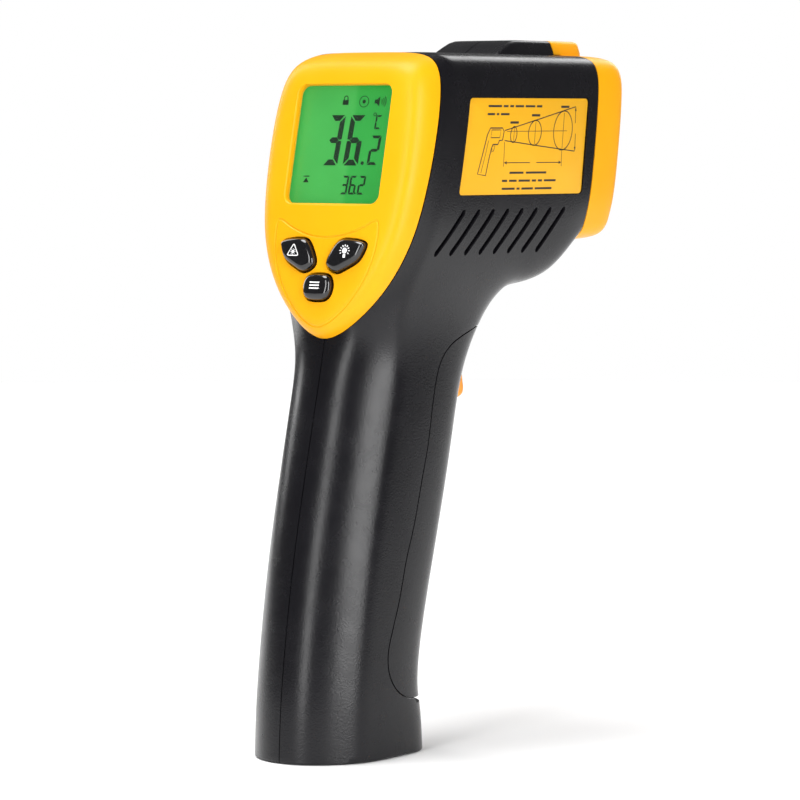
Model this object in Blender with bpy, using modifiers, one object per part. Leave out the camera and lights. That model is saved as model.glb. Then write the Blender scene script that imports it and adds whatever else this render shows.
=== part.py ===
"""Handheld infrared thermometer with a pistol grip, built as separate named sub-parts.

Units are metres. +Z is up, +Y points out of the nose, +X is the user's right.
Design positions are written in millimetres from the grip's heel line and are
moved by Y_CENTRE and FOOT_Z so that the row's origin is on the floor, in the middle
of the bounding box.
"""
import math

import bmesh
import bpy
import numpy as np
from mathutils import Matrix, Vector

# ---------------------------------------------------------------- driving sizes, mm
Y_CENTRE = 28.7          # design Y of the row's origin
FOOT_Z = 1.9             # design Z of the foot, which is the row's floor
WALL = 1.8               # moulded wall thickness
GAP = 0.3                # parting gap between touching mouldings
SEAT_GAP = 0.4           # gap between the bezel and the housing's rim
SEAM = 0.1               # half of the gap between the two housing halves
GRIP_HALF = 15.15        # half width of the grip
BACK_DEPTH = 17.5        # depth of the grip's rounded back
FRONT_DEPTH = 10.5       # depth of the grip's rounded front
ROUND = 1.0467           # cage radius over surface radius for a twelve point ring
FACE_TILT = math.radians(12.5)
SEAT_SLOPE = 0.27        # lean of the plane where the bezel meets the housing
FACE_ORIGIN = (0.0, 1.3, 143.0)      # a point on the front skin of the display bezel
NOSE_SLOPE = 0.140       # forward lean of the nose seat
LENS_AXIS_Z = 127.0
LASER_AXIS_Z = 148.0
TRIGGER_PIVOT = (34.0, 104.5)        # Y, Z
DOOR_PIVOT = (11.9, 14.7)            # Y, Z
BATTERY_LEAN = math.radians(13.0)
BATTERY_CENTRE = (0.0, 2.9, 43.5)
BATTERY_SIZE = (16.4, 25.4, 47.5)
SCREW_SPOTS = [(-8.0, 8.0), (7.2, 86.0), (27.0, 143.0), (50.5, 106.6)]

# Grip outline in side view: height, back seam, front middle line.
BACK_LINE = [(0, -22.2), (3, -22.1), (15.3, -21.3), (29.7, -19.5), (44, -17.1),
             (54.4, -14.7), (65.7, -11.9), (77, -9.1), (88, -6.3)]
FRONT_LINE = [(0, 16.6), (3, 16.3), (12.4, 15.3), (15.8, 14.1), (25.7, 15.2), (35, 17.7),
              (44.4, 20.6), (53.7, 23.4), (63.2, 26.0), (75.8, 28.7), (82, 30.1),
              (88, 33.4), (94.2, 38.0)]
GRIP_ROWS = [-5.0, 5.0, 12.4, 15.8, 26.0, 44.0, 62.0, 76.0, 85.0]

# Bezel seat: half width and height, from the lower tip round to the top middle.
SEAT = [(0.0, 88.0), (8.0, 93.2), (14.6, 100.4), (18.7, 109.0), (20.4, 118.0),
        (21.0, 130.0), (20.5, 141.0), (18.2, 148.8), (10.0, 149.75), (0.0, 149.7)]

# Styling line behind the bezel, from the top of the grip to the top middle.
BODY_LINE = [(14.2, 0.3, 94.2), (16.9, 2.2, 102.0), (19.6, 4.9, 109.0), (20.5, 7.0, 117.5),
             (20.7, 11.0, 130.0), (20.6, 13.4, 141.0), (19.6, 12.6, 149.6),
             (10.0, 12.3, 149.75), (0.0, 12.2, 149.7)]

# Side columns of the head: Y at each of the six side rows.
HEAD_ROWS = [94.2, 101.5, 109.0, 118.0, 130.0, 141.0]
HEAD_HALF = [15.6, 17.6, 19.5, 20.5, 20.7, 20.6]
HEAD_TOP = [(19.7, 149.6), (10.0, 149.8), (0.0, 149.8)]

# Side edge of the battery door in side view: Y, Z from the top ear to the foot.
DOOR_LINE = [(28.7, 91.2), (22.2, 89.35), (17.6, 87.2), (14.8, 84.3), (13.3, 80.9),
             (12.0, 75.8), (10.3, 67.3), (8.0, 59.6), (5.2, 50.3), (2.6, 43.6),
             (0.1, 35.1), (-2.2, 29.0), (-3.6, 24.7), (-3.7, 21.2), (-2.7, 18.4),
             (-0.6, 16.0), (2.6, 14.4), (7.0, 13.7)]
TRIGGER_SLOT = [(22.0, 73.0), (40.0, 73.0), (46.0, 90.0), (43.6, 98.5), (43.6, 106.0),
                (22.0, 106.0)]

COLLECTION = "infrared_thermometer"
CUTTERS = "infrared_thermometer_cutters"

for old in list(bpy.data.objects):
    bpy.data.objects.remove(old, do_unlink=True)
parts = bpy.data.collections.new(COLLECTION)
cutters = bpy.data.collections.new(CUTTERS)
bpy.context.scene.collection.children.link(parts)
bpy.context.scene.collection.children.link(cutters)


# ---------------------------------------------------------------- small helpers
def spot(x, y, z):
    """A design position in millimetres as a point of the row's frame in metres."""
    return Vector((x, y - Y_CENTRE, z - FOOT_Z)) * 0.001


def along(line, key):
    """Smooth height-to-value curve through the stations of a line."""
    keys = [row[0] for row in line]
    values = [row[1] for row in line]
    return float(np.interp(key, keys, values))


def material(name, colour, roughness, metallic=0.0, alpha=1.0):
    found = bpy.data.materials.get(name)
    if found:
        return found
    made = bpy.data.materials.new(name)
    made.use_nodes = True
    shader = made.node_tree.nodes["Principled BSDF"]
    shader.inputs["Base Color"].default_value = (*colour, 1.0)
    shader.inputs["Roughness"].default_value = roughness
    shader.inputs["Metallic"].default_value = metallic
    shader.inputs["Alpha"].default_value = alpha
    made.diffuse_color = (*colour, alpha)
    return made


BLACK_ABS = material("black_abs", (0.020, 0.020, 0.023), 0.45)
YELLOW_ABS = material("yellow_abs", (0.95, 0.55, 0.02), 0.42)
ORANGE_ABS = material("orange_abs", (0.90, 0.36, 0.03), 0.45)
GLOSS_BLACK = material("gloss_black_key", (0.012, 0.012, 0.014), 0.18)
CLEAR_WINDOW = material("clear_acrylic", (0.90, 0.95, 0.92), 0.06, 0.0, 0.35)
LCD_GREEN = material("lcd_green", (0.18, 0.72, 0.22), 0.30)
BACKLIGHT = material("backlight_white", (0.80, 0.88, 0.80), 0.50)
PCB_GREEN = material("circuit_board", (0.03, 0.22, 0.09), 0.45)
RUBBER = material("conductive_rubber", (0.06, 0.06, 0.07), 0.75)
STEEL = material("zinc_steel", (0.62, 0.62, 0.64), 0.30, 1.0)
SPRING_STEEL = material("spring_steel", (0.55, 0.56, 0.58), 0.28, 1.0)
BRASS = material("brass", (0.78, 0.60, 0.26), 0.30, 1.0)
LENS_GLASS = material("infrared_lens", (0.22, 0.20, 0.24), 0.12, 0.2)
LASER_RED = material("red_acrylic", (0.45, 0.02, 0.02), 0.12)
SWITCH_BLACK = material("switch_body", (0.03, 0.03, 0.03), 0.55)
BATTERY_JACKET = material("battery_jacket", (0.30, 0.31, 0.34), 0.30, 0.85)
LABEL_YELLOW = material("label_film", (0.96, 0.62, 0.05), 0.38)
WIRE_RED = material("red_wire", (0.55, 0.02, 0.02), 0.50)
WIRE_BLACK = material("black_wire", (0.02, 0.02, 0.02), 0.50)


def link_mesh(name, verts, faces, mat, collection=parts):
    """A new mesh object with outward faces, in metres."""
    mesh = bpy.data.meshes.new(name)
    mesh.from_pydata([tuple(v) for v in verts], [], faces)
    work = bmesh.new()
    work.from_mesh(mesh)
    bmesh.ops.recalc_face_normals(work, faces=work.faces)
    work.to_mesh(mesh)
    work.free()
    made = bpy.data.objects.new(name, mesh)
    collection.objects.link(made)
    if mat:
        mesh.materials.append(mat)
    if collection is cutters:
        made.hide_render = True
        made.display_type = "WIRE"
    return made


def skin(name, rings, mat, collection=parts):
    """A closed body through a list of equal closed rings, flat at both ends."""
    count = len(rings[0])
    verts = [p for ring in rings for p in ring]
    faces = []
    for r in range(len(rings) - 1):
        for k in range(count):
            n = (k + 1) % count
            faces.append((r * count + k, r * count + n, (r + 1) * count + n, (r + 1) * count + k))
    faces.append(tuple(range(count)))
    faces.append(tuple(range((len(rings) - 1) * count, len(rings) * count)))
    return link_mesh(name, verts, faces, mat, collection)


def prism(name, profile, x_from, x_to, mat, collection=parts):
    """A side view outline (Y, Z) pushed out along X."""
    rings = [[spot(x, y, z) for y, z in profile] for x in (x_from, x_to)]
    return skin(name, rings, mat, collection)


def round_ring(centre, axis, radius, segments, start=0.0):
    """Points of a circle round an axis; centre is a design point."""
    normal = Vector(axis).normalized()
    side = normal.cross(Vector((0, 0, 1)))
    if side.length < 1e-6:
        side = Vector((1, 0, 0))
    side.normalize()
    up = side.cross(normal)
    ring = []
    for k in range(segments):
        a = start + 2 * math.pi * k / segments
        p = Vector(centre) + radius * (math.cos(a) * side + math.sin(a) * up)
        ring.append(spot(*p))
    return ring


def turned(name, centre, axis, stations, mat, collection=parts, segments=24):
    """A round body: stations are (distance along the axis, radius)."""
    direction = Vector(axis).normalized()
    rings = [round_ring(Vector(centre) + d * direction, axis, r, segments) for d, r in stations]
    return skin(name, rings, mat, collection)


def slab(name, frame, lo, hi, mat, collection=parts):
    """A box between two corners of a local frame given in millimetres."""
    corners = [(x, y, z) for x in (lo[0], hi[0]) for y in (lo[1], hi[1]) for z in (lo[2], hi[2])]
    verts = [spot(*(frame @ Vector(c))) for c in corners]
    faces = [(0, 1, 3, 2), (4, 6, 7, 5), (0, 4, 5, 1), (2, 3, 7, 6), (0, 2, 6, 4), (1, 5, 7, 3)]
    return link_mesh(name, verts, faces, mat, collection)


def face_plate(name, outline, depth_from, depth_to, mat, collection=parts):
    """An outline (x, height on the face) pushed through a depth behind the face skin."""
    rings = []
    for depth in (depth_from, depth_to):
        rings.append([spot(*(FACE @ Vector((x, h, -depth)))) for x, h in outline])
    return skin(name, rings, mat, collection)


def rounded_box_outline(x0, x1, y0, y1, radius, steps=3):
    """Outline of a rectangle with rounded corners."""
    points = []
    corners = [(x1 - radius, y1 - radius, 0), (x0 + radius, y1 - radius, 90),
               (x0 + radius, y0 + radius, 180), (x1 - radius, y0 + radius, 270)]
    for cx, cy, begin in corners:
        for k in range(steps + 1):
            a = math.radians(begin + 90 * k / steps)
            points.append((cx + radius * math.cos(a), cy + radius * math.sin(a)))
    return points


def combine(target, other, operation):
    """Add an exact Boolean to a part."""
    step = target.modifiers.new(f"{operation.lower()}_{other.name}", "BOOLEAN")
    step.operation = operation
    step.solver = "EXACT"
    step.object = other
    return step


def frame_at(origin, right, up):
    """A local frame from its origin and two directions, in millimetres."""
    x_axis = Vector(right).normalized()
    y_axis = Vector(up).normalized()
    z_axis = x_axis.cross(y_axis)
    rows = Matrix((x_axis, y_axis, z_axis)).transposed().to_4x4()
    return Matrix.Translation(Vector(origin)) @ rows


# Face frame: x to the right, y up along the display face, z out towards the user.
FACE = frame_at(FACE_ORIGIN, (1, 0, 0), (0, math.sin(FACE_TILT), math.cos(FACE_TILT)))
LEVEL = Matrix.Identity(4)


def face_height(z):
    """Distance along the face from its origin down to a design height."""
    return (z - FACE_ORIGIN[2]) / math.cos(FACE_TILT)


def set_origin(target, point):
    """Put the object's origin on a design point without moving its surface."""
    place = spot(*point)
    target.data.transform(Matrix.Translation(-place))
    target.location = place


# ---------------------------------------------------------------- housing surface
def seat_depth(z):
    """Design Y of the bezel's seat at a height."""
    return 7.4 + (z - 139.6) * SEAT_SLOPE


def nose_depth(z):
    """Design Y of the nose cap's seat at a height."""
    return 62.4 + (z - 107.2) * NOSE_SLOPE


def grip_row(z):
    """Eight cage points round the right half of the grip, back seam to front."""
    back = along(BACK_LINE, z)
    front = along(FRONT_LINE, z)
    heel = back + BACK_DEPTH
    toe = front - FRONT_DEPTH
    row = []
    for turn in (0, 30, 60, 90):
        a = math.radians(turn)
        grow = 1.0 if turn == 90 else ROUND
        row.append((GRIP_HALF * math.sin(a) * grow, heel - BACK_DEPTH * math.cos(a) * ROUND, z))
    for turn in (90, 60, 30, 0):
        a = math.radians(turn)
        grow = 1.0 if turn == 90 else ROUND
        row.append((GRIP_HALF * math.sin(a) * grow, toe + FRONT_DEPTH * math.cos(a) * ROUND, z))
    crease_x, crease_y, _ = row[2]
    row[2] = (crease_x + 0.25, crease_y + 1.4, z)
    return row


def column(lowest, ys, top_y):
    """Side column of the head from its lowest row to the top middle."""
    points = []
    for k in range(lowest, len(HEAD_ROWS)):
        points.append((HEAD_HALF[k], ys[k - lowest], HEAD_ROWS[k]))
    for x, z in HEAD_TOP:
        points.append((x, top_y, z))
    return points


def belly_column(y, z, side_low, side_ys, top_y, half):
    """Forward column of the head: belly middle, belly corner, side, top."""
    points = [(0.0, y, z - 0.1), (9.0, y, z - 0.1), (half, y, z)]
    points.append((19.5, side_ys[0], side_low))
    for k in range(3, 6):
        points.append((HEAD_HALF[k], side_ys[k - 2], HEAD_ROWS[k]))
    for x, top_z in HEAD_TOP:
        points.append((x, top_y, top_z))
    return points


def housing_cage():
    """Cage of the right half's outer surface: points and four sided faces."""
    points = []
    faces = []

    def add(p):
        points.append(p)
        return len(points) - 1

    grip = [[add(p) for p in grip_row(z)] for z in GRIP_ROWS]
    seat = [add((x, seat_depth(z), z)) for x, z in SEAT]
    body = [add(p) for p in BODY_LINE]
    upper = grip_row(HEAD_ROWS[0])
    ring_a = [None, None, body[0]]
    for k in (3, 4, 5, 6, 7):
        x, y, z = upper[k]
        ring_a.append(add((x * 1.03, y, z)))

    third = [ring_a[3]]
    for p in column(1, (12.2, 14.0, 16.0, 19.0, 21.0), 21.0):
        third.append(add(p))
    fourth = [ring_a[4]]
    for p in column(1, (24.0, 26.0, 28.0, 30.5, 32.0), 32.0):
        fourth.append(add(p))
    corner = add((16.9, 38.5, 99.3))
    fifth = [ring_a[5], corner]
    for p in column(2, (41.0, 41.6, 42.4, 43.2), 43.4):
        fifth.append(add(p))
    belly_mid = add((8.6, 41.2, 99.3))
    belly_seam = add((0.0, 41.8, 99.3))

    # Grip walls.
    for r in range(len(grip) - 1):
        for c in range(7):
            faces.append((grip[r][c], grip[r][c + 1], grip[r + 1][c + 1], grip[r + 1][c]))
    top = grip[-1]
    faces.append((top[0], top[1], seat[1], seat[0]))
    faces.append((top[1], top[2], body[0], seat[1]))
    for c in range(2, 7):
        faces.append((top[c], top[c + 1], ring_a[c + 1], ring_a[c]))
    faces.append((ring_a[5], ring_a[6], belly_mid, corner))
    faces.append((ring_a[6], ring_a[7], belly_seam, belly_mid))

    # Collar and sides of the head.
    for k in range(1, len(body)):
        faces.append((seat[k], body[k - 1], body[k], seat[k + 1]))
    for k in range(len(third) - 1):
        faces.append((body[k], third[k], third[k + 1], body[k + 1]))
        faces.append((third[k], fourth[k], fourth[k + 1], third[k + 1]))
        faces.append((fourth[k], fifth[k], fifth[k + 1], fourth[k + 1]))

    # Belly and front of the head.
    stations = [
        belly_column(43.6, 99.6, 109.0, (44.4, 45.4, 46.8, 48.0), 48.6, 17.6),
        belly_column(52.6, 100.7, 110.0, (53.2, 54.2, 55.6, 56.8), 57.8, 18.1),
        belly_column(58.6, 105.2, 111.8, (59.2, 60.4, 62.0, 63.6), 64.6, 18.4),
        belly_column(nose_depth(109.0), 109.0, 113.6,
                     [nose_depth(z) for z in (113.6, 118.0, 130.0, 141.0)],
                     nose_depth(149.6), 18.6),
    ]
    previous = [belly_seam, belly_mid] + fifth[1:]
    for station in stations:
        current = [add(p) for p in station]
        for k in range(len(current) - 1):
            faces.append((previous[k], current[k], current[k + 1], previous[k + 1]))
        previous = current
    return points, faces


def half_surface(name, detail, mat, collection):
    """The whole outer skin: the right half's cage, mirrored and subdivided."""
    points, faces = housing_cage()
    made = link_mesh(name, [spot(*p) for p in points], faces, mat, collection)
    mirror = made.modifiers.new("mirror", "MIRROR")
    mirror.use_clip = True
    mirror.merge_threshold = 0.00001
    smooth = made.modifiers.new("subdivide", "SUBSURF")
    smooth.levels = detail
    smooth.render_levels = detail
    return made


def foot_plate(name):
    """Flat floor of the grip, its edge inside the wall."""
    half = GRIP_HALF - 0.9
    heel = along(BACK_LINE, 0) + BACK_DEPTH
    toe = along(FRONT_LINE, 0) - FRONT_DEPTH
    outline = []
    for k in range(32):
        a = 2 * math.pi * (k + 0.5) / 32
        reach = FRONT_DEPTH - 0.9 if math.cos(a) > 0 else BACK_DEPTH - 0.9
        middle = toe if math.cos(a) > 0 else heel
        outline.append((half * math.sin(a), middle + reach * math.cos(a)))
    rings = [[spot(x, y, z) for x, y in outline]
             for z in (FOOT_Z - 2.0, FOOT_Z + WALL)]
    return skin(name, rings, None, cutters)


def shell(name, mat, thickness=WALL):
    """A moulded shell of the outer skin with its wall inwards."""
    made = half_surface(name, 1, mat, parts)
    wall = made.modifiers.new("wall", "SOLIDIFY")
    wall.thickness = thickness * 0.001
    wall.offset = -1.0
    wall.use_even_offset = True
    return made


# ---------------------------------------------------------------- shared cutters
def offset_line(line, distance):
    """Side view line moved sideways, away from the door."""
    moved = []
    for k, (y, z) in enumerate(line):
        before = line[max(k - 1, 0)]
        after = line[min(k + 1, len(line) - 1)]
        run = Vector((after[0] - before[0], after[1] - before[1])).normalized()
        moved.append((y + run.y * distance, z - run.x * distance))
    return moved


def door_outline(distance, foot):
    """Side view of everything in front of the door's edge."""
    edge = offset_line(DOOR_LINE, distance)
    return edge[:-1] + [(edge[-1][0], foot), (60.0, foot), (60.0, edge[0][1])]


door_cut = prism("door_opening_cutter", door_outline(GAP, 12.5), -30, 30, None, cutters)
door_keep = prism("door_keep_cutter", door_outline(0.0, 13.8), -30, 30, None, cutters)
trigger_slot = prism("trigger_slot_cutter", TRIGGER_SLOT, -6.9, 6.9, None, cutters)
rim_front = prism("rim_front_cutter", [(seat_depth(91) - 0.06, 91), (seat_depth(160) - 0.06, 160),
                                       (-60, 160), (-60, 91)], -30, 30, None, cutters)
rim_rear = prism("rim_rear_cutter", [(seat_depth(80) - SEAT_GAP + 0.06, 80), (60, 80), (60, 160),
                                     (seat_depth(160) - SEAT_GAP + 0.06, 160)], -30, 30, None,
                 cutters)
knuckle_relief = slab("knuckle_relief_cutter", LEVEL, (-3.3, 8.0, 11.7), (3.3, 14.45, 13.2), None,
                      cutters)
laser_bore = turned("laser_bore_cutter", (0, 48, LASER_AXIS_Z), (0, 1, 0),
                    [(0, 3.3), (24.5, 3.3), (24.5, 2.2), (40, 2.2)], None, cutters)


# ---------------------------------------------------------------- laser ridge
def ridge_ring(y, top, half_top, half_base, lean=0.0, base=148.6):
    """Section of the raised ridge over the laser tube."""
    shoulder = top - 1.4
    half_shoulder = half_top + 1.1
    shoulder = max(shoulder, base + 0.2)
    outline = [(half_base, base), (half_shoulder, shoulder), (half_top, top),
               (-half_top, top), (-half_shoulder, shoulder), (-half_base, base)]
    return [spot(x, y + (z - 149.0) * lean, z) for x, z in outline]


def ridge_rear(name):
    """Black part of the ridge, ramping up from the top of the head."""
    rings = [ridge_ring(43.5, 149.4, 8.2, 10.0), ridge_ring(50.5, 152.6, 7.8, 10.0),
             ridge_ring(53.0, 153.0, 7.7, 10.0), ridge_ring(66.0, 153.0, 7.6, 10.0)]
    return skin(name, rings, None, cutters)


def ridge_tip(name):
    """Yellow tip of the ridge, part of the nose cap."""
    rings = [ridge_ring(66.3, 153.05, 7.7, 10.0, 0.0, 146.9),
             ridge_ring(76.8, 153.05, 7.4, 9.7, NOSE_SLOPE, 146.9),
             ridge_ring(78.4, 152.2, 6.7, 8.9, NOSE_SLOPE, 146.9)]
    return skin(name, rings, None, cutters)


# ---------------------------------------------------------------- housing halves
def groove_cutter(name, side):
    """Eight slanted grip grooves on one side of the head."""
    verts = []
    faces = []
    corners = [(0, 1, 2, 3), (7, 6, 5, 4), (0, 4, 5, 1), (1, 5, 6, 2), (2, 6, 7, 3), (3, 7, 4, 0)]
    for k in range(8):
        top_y = 15.7 + 5.43 * k
        foot_y = 6.5 + 5.36 * k
        base = len(verts)
        for x in (18.3, 24.0):
            for y, z in ((foot_y, 107.0), (foot_y + 1.3, 107.0), (top_y + 1.3, 116.4),
                         (top_y, 116.4)):
                verts.append(spot(side * x, y, z))
        for quad in corners:
            faces.append(tuple(base + i for i in quad))
    return link_mesh(name, verts, faces, None, cutters)


LABEL_OUTLINE = [(18.1, 140.1), (63.3, 140.2), (60.5, 119.4), (13.9, 119.6)]
LUG_OUTLINE = [(10.3, 9.5), (13.4, 9.5), (13.4, 12.2), (13.1, 13.4), (13.1, 15.3),
               (12.4, 16.3), (11.2, 16.3), (10.3, 15.3)]


def grown(outline, amount):
    """An outline moved outwards from its middle by about the given distance."""
    middle = Vector((sum(p[0] for p in outline), sum(p[1] for p in outline))) / len(outline)
    moved = []
    for p in outline:
        arm = Vector(p) - middle
        moved.append(tuple(middle + arm * (1 + amount / arm.length)))
    return moved


def wall_at(y, z):
    """Half width of the head or grip where a boss meets the wall."""
    if z < 90:
        return 14.0 if z > 20 else 12.6
    return float(np.interp(z, HEAD_ROWS, HEAD_HALF)) - 1.2


def housing_half(side, name):
    """One moulded half with its bosses, lugs and openings."""
    half = shell(name, BLACK_ABS)
    combine(half, ridge_rear(f"{name}_ridge"), "UNION")
    combine(half, foot_plate(f"{name}_foot"), "UNION")
    reach = (SEAM, 40.0) if side > 0 else (-40.0, -SEAM)
    room = slab(f"{name}_side_cutter", LEVEL, (reach[0], -40, FOOT_Z), (reach[1], 120, 170), None,
                cutters)
    combine(half, room, "INTERSECT")
    join_up = half.modifiers.new("join_up", "WELD")
    join_up.merge_threshold = 0.00003
    half.modifiers.new("flat_faces", "TRIANGULATE")
    combine(half, rim_front, "DIFFERENCE")
    combine(half, door_cut, "DIFFERENCE")
    combine(half, trigger_slot, "DIFFERENCE")
    for k, (y, z) in enumerate(SCREW_SPOTS):
        wall = wall_at(y, z)
        width = 2.9 if side > 0 else 4.1
        boss = turned(f"{name}_boss_{k}", (side * SEAM, y, z), (side, 0, 0),
                      [(0, width), (wall - SEAM, width)], None, cutters, 16)
        combine(half, boss, "UNION")
        if side > 0:
            bore = turned(f"{name}_bore_{k}", (0, y, z), (1, 0, 0), [(-2, 1.35), (8, 1.35)], None,
                          cutters, 16)
            combine(half, bore, "DIFFERENCE")
        else:
            bore = turned(f"{name}_bore_{k}", (2, y, z), (-1, 0, 0),
                          [(0, 1.6), (7.9, 1.6), (8.0, 3.0), (30, 3.0)], None, cutters, 16)
            combine(half, bore, "DIFFERENCE")
    pin_y, pin_z = TRIGGER_PIVOT
    post = turned(f"{name}_trigger_post", (side * 7.4, pin_y, pin_z), (side, 0, 0),
                  [(0, 2.4), (9.4, 2.4)], None, cutters, 16)
    combine(half, post, "UNION")
    seat = turned(f"{name}_trigger_seat", (side * 6.9, pin_y, pin_z), (side, 0, 0),
                  [(0, 1.15), (3.2, 1.15)], None, cutters, 16)
    combine(half, seat, "DIFFERENCE")
    lug = prism(f"{name}_lug", LUG_OUTLINE, side * 3.3, side * 5.8, None, cutters)
    combine(half, lug, "UNION")
    hole = turned(f"{name}_lug_hole", (side * 3.0, *DOOR_PIVOT), (side, 0, 0),
                  [(0, 0.95), (2.6, 0.95)], None, cutters, 12)
    combine(half, hole, "DIFFERENCE")
    combine(half, knuckle_relief, "DIFFERENCE")
    combine(half, groove_cutter(f"{name}_grooves", side), "DIFFERENCE")
    recess = prism(f"{name}_label_recess", grown(LABEL_OUTLINE, 0.5), side * 20.0, side * 26.0,
                   None, cutters)
    combine(half, recess, "DIFFERENCE")
    combine(half, laser_bore, "DIFFERENCE")
    return half


right_housing = housing_half(1, "right_housing")
left_housing = housing_half(-1, "left_housing")

for side, name in ((1, "right_label"), (-1, "left_label")):
    prism(name, LABEL_OUTLINE, side * 20.05, side * 20.3, LABEL_YELLOW)

for k, (y, z) in enumerate(SCREW_SPOTS):
    turned(f"housing_screw_{k + 1}", (-8.1, y, z), (1, 0, 0),
           [(0, 2.2), (0.5, 2.6), (1.9, 2.6), (1.9, 1.25), (13.5, 1.25), (14.5, 0.5)], STEEL,
           segments=16)


# ---------------------------------------------------------------- display bezel
def outline_ring(share, inset):
    """Cage ring of the bezel, a share of the way from its seat out to its face."""
    ring = []
    for x, z in SEAT:
        wide = x * (1 - inset / 21.0)
        high = 121.0 + (z - 121.0) * (1 - inset / 30.0)
        rear = seat_depth(high) - SEAT_GAP
        front = FACE_ORIGIN[1] + (high - FACE_ORIGIN[2]) * math.tan(FACE_TILT)
        ring.append((wide, rear + (front - rear) * share, high))
    return ring


def capped_cage(name, rings, rows, bottom, top, crown, mat):
    """A cup from equal open half rings, closed by a grid across its last ring."""
    points = []
    faces = []

    def add(p):
        points.append(p)
        return len(points) - 1

    index = [[add(p) for p in ring] for ring in rings]
    for r in range(len(index) - 1):
        for k in range(len(index[0]) - 1):
            faces.append((index[r][k], index[r][k + 1], index[r + 1][k + 1], index[r + 1][k]))
    last = index[-1]
    grid = [[last[k] for k in bottom]]
    for k in rows:
        x, y, z = points[last[k]]
        mid = add((0.5 * x, y + crown * 0.8, z))
        centre = add((0.0, y + crown, z))
        grid.append([last[k], mid, centre])
    grid.append([last[k] for k in top])
    for r in range(len(grid) - 1):
        low, high = grid[r], grid[r + 1]
        if len(low) == 1:
            faces.append((low[0], high[0], high[1], high[2]))
            continue
        faces.append((low[0], low[1], high[1], high[0]))
        faces.append((low[1], low[2], high[2], high[1]))
    made = link_mesh(name, [spot(*p) for p in points], faces, mat)
    mirror = made.modifiers.new("mirror", "MIRROR")
    mirror.use_clip = True
    mirror.merge_threshold = 0.00001
    smooth = made.modifiers.new("subdivide", "SUBSURF")
    smooth.levels = 1
    smooth.render_levels = 1
    wall = made.modifiers.new("wall", "SOLIDIFY")
    wall.thickness = WALL * 0.001
    wall.offset = -1.0
    wall.use_even_offset = True
    made.modifiers.new("flat_faces", "TRIANGULATE")
    return made


bezel_rings = [outline_ring(0.0, 0.0), outline_ring(0.40, 0.6), outline_ring(0.88, 2.3),
               outline_ring(1.0, 5.8)]
display_bezel = capped_cage("display_bezel", bezel_rings, range(1, 7), [0], [7, 8, 9], -0.25,
                            YELLOW_ABS)

combine(display_bezel, rim_rear, "DIFFERENCE")
WINDOW = rounded_box_outline(-12.2, 12.2, face_height(118.1), face_height(143.0), 2.0)
combine(display_bezel, face_plate("window_cutter", WINDOW, -6, 9, None, cutters), "DIFFERENCE")

KEY_SHAPES = {
    "button_backlight": [(1.6, 105.3), (4.1, 103.7), (6.9, 104.7), (9.5, 106.3), (10.7, 108.4),
                         (10.9, 109.7), (9.6, 110.3), (6.9, 110.6), (4.4, 110.3), (2.6, 108.2)],
    "button_laser": [(-1.6, 105.3), (-2.6, 108.2), (-4.4, 110.3), (-6.9, 110.6), (-9.6, 110.3),
                     (-10.9, 109.7), (-10.7, 108.4), (-9.5, 106.3), (-6.9, 104.7), (-4.1, 103.7)],
    "button_mode": [(-3.6, 100.9), (-3.2, 98.9), (-1.7, 97.9), (1.7, 97.9), (3.2, 98.9),
                    (3.6, 100.9), (2.9, 102.6), (1.4, 103.2), (-1.4, 103.2), (-2.9, 102.6)],
}


def key_outline(shape, amount):
    """Outline of a key on the face, grown by a distance."""
    flat = [(x, face_height(z)) for x, z in shape]
    return grown(flat, amount)


for name, shape in KEY_SHAPES.items():
    hole = face_plate(f"{name}_cutter", key_outline(shape, 0.3), -6, 9, None, cutters)
    combine(display_bezel, hole, "DIFFERENCE")
    levels = [(-1.7, -0.9), (-1.2, -0.2), (2.4, 0.0), (2.4, 0.7), (3.3, 0.7)]
    rings = []
    for depth, amount in levels:
        outline = key_outline(shape, amount)
        rings.append([spot(*(FACE @ Vector((x, h, -depth)))) for x, h in outline])
    key = skin(name, rings, GLOSS_BLACK)
    middle_x = sum(x for x, z in shape) / len(shape)
    middle_h = face_height(sum(z for x, z in shape) / len(shape))
    slab(name.replace("button", "switch"), FACE, (middle_x - 2.2, middle_h - 2.2, -8.3),
         (middle_x + 2.2, middle_h + 2.2, -4.1), SWITCH_BLACK)
    set_origin(key, FACE @ Vector((middle_x, middle_h, 0)))

WINDOW_PLATE = rounded_box_outline(-12.0, 12.0, face_height(118.3), face_height(142.8), 1.8)
face_plate("display_window", WINDOW_PLATE, 0.8, 1.9, CLEAR_WINDOW)
slab("lcd_panel", FACE, (-13.0, face_height(116.9), -4.3), (13.0, face_height(143.9), -2.5),
     LCD_GREEN)
slab("backlight_panel", FACE, (-12.8, face_height(119.8), -6.8), (12.8, face_height(143.4), -4.6),
     BACKLIGHT)
slab("zebra_strip", FACE, (-12.0, face_height(117.2), -8.3), (12.0, face_height(119.3), -4.5),
     RUBBER)
BOARD = [(-14.6, 144.6), (-15.2, 113.0), (-9.0, 99.6), (9.0, 99.6), (15.2, 113.0), (14.6, 144.6)]
face_plate("main_board", [(x, face_height(z)) for x, z in BOARD], 8.5, 10.1, PCB_GREEN)
turned("piezo_buzzer", FACE @ Vector((0, face_height(132), -10.4)),
       (0, math.cos(FACE_TILT), -math.sin(FACE_TILT)), [(0, 7.0), (3.0, 7.0)], SWITCH_BLACK)


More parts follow.
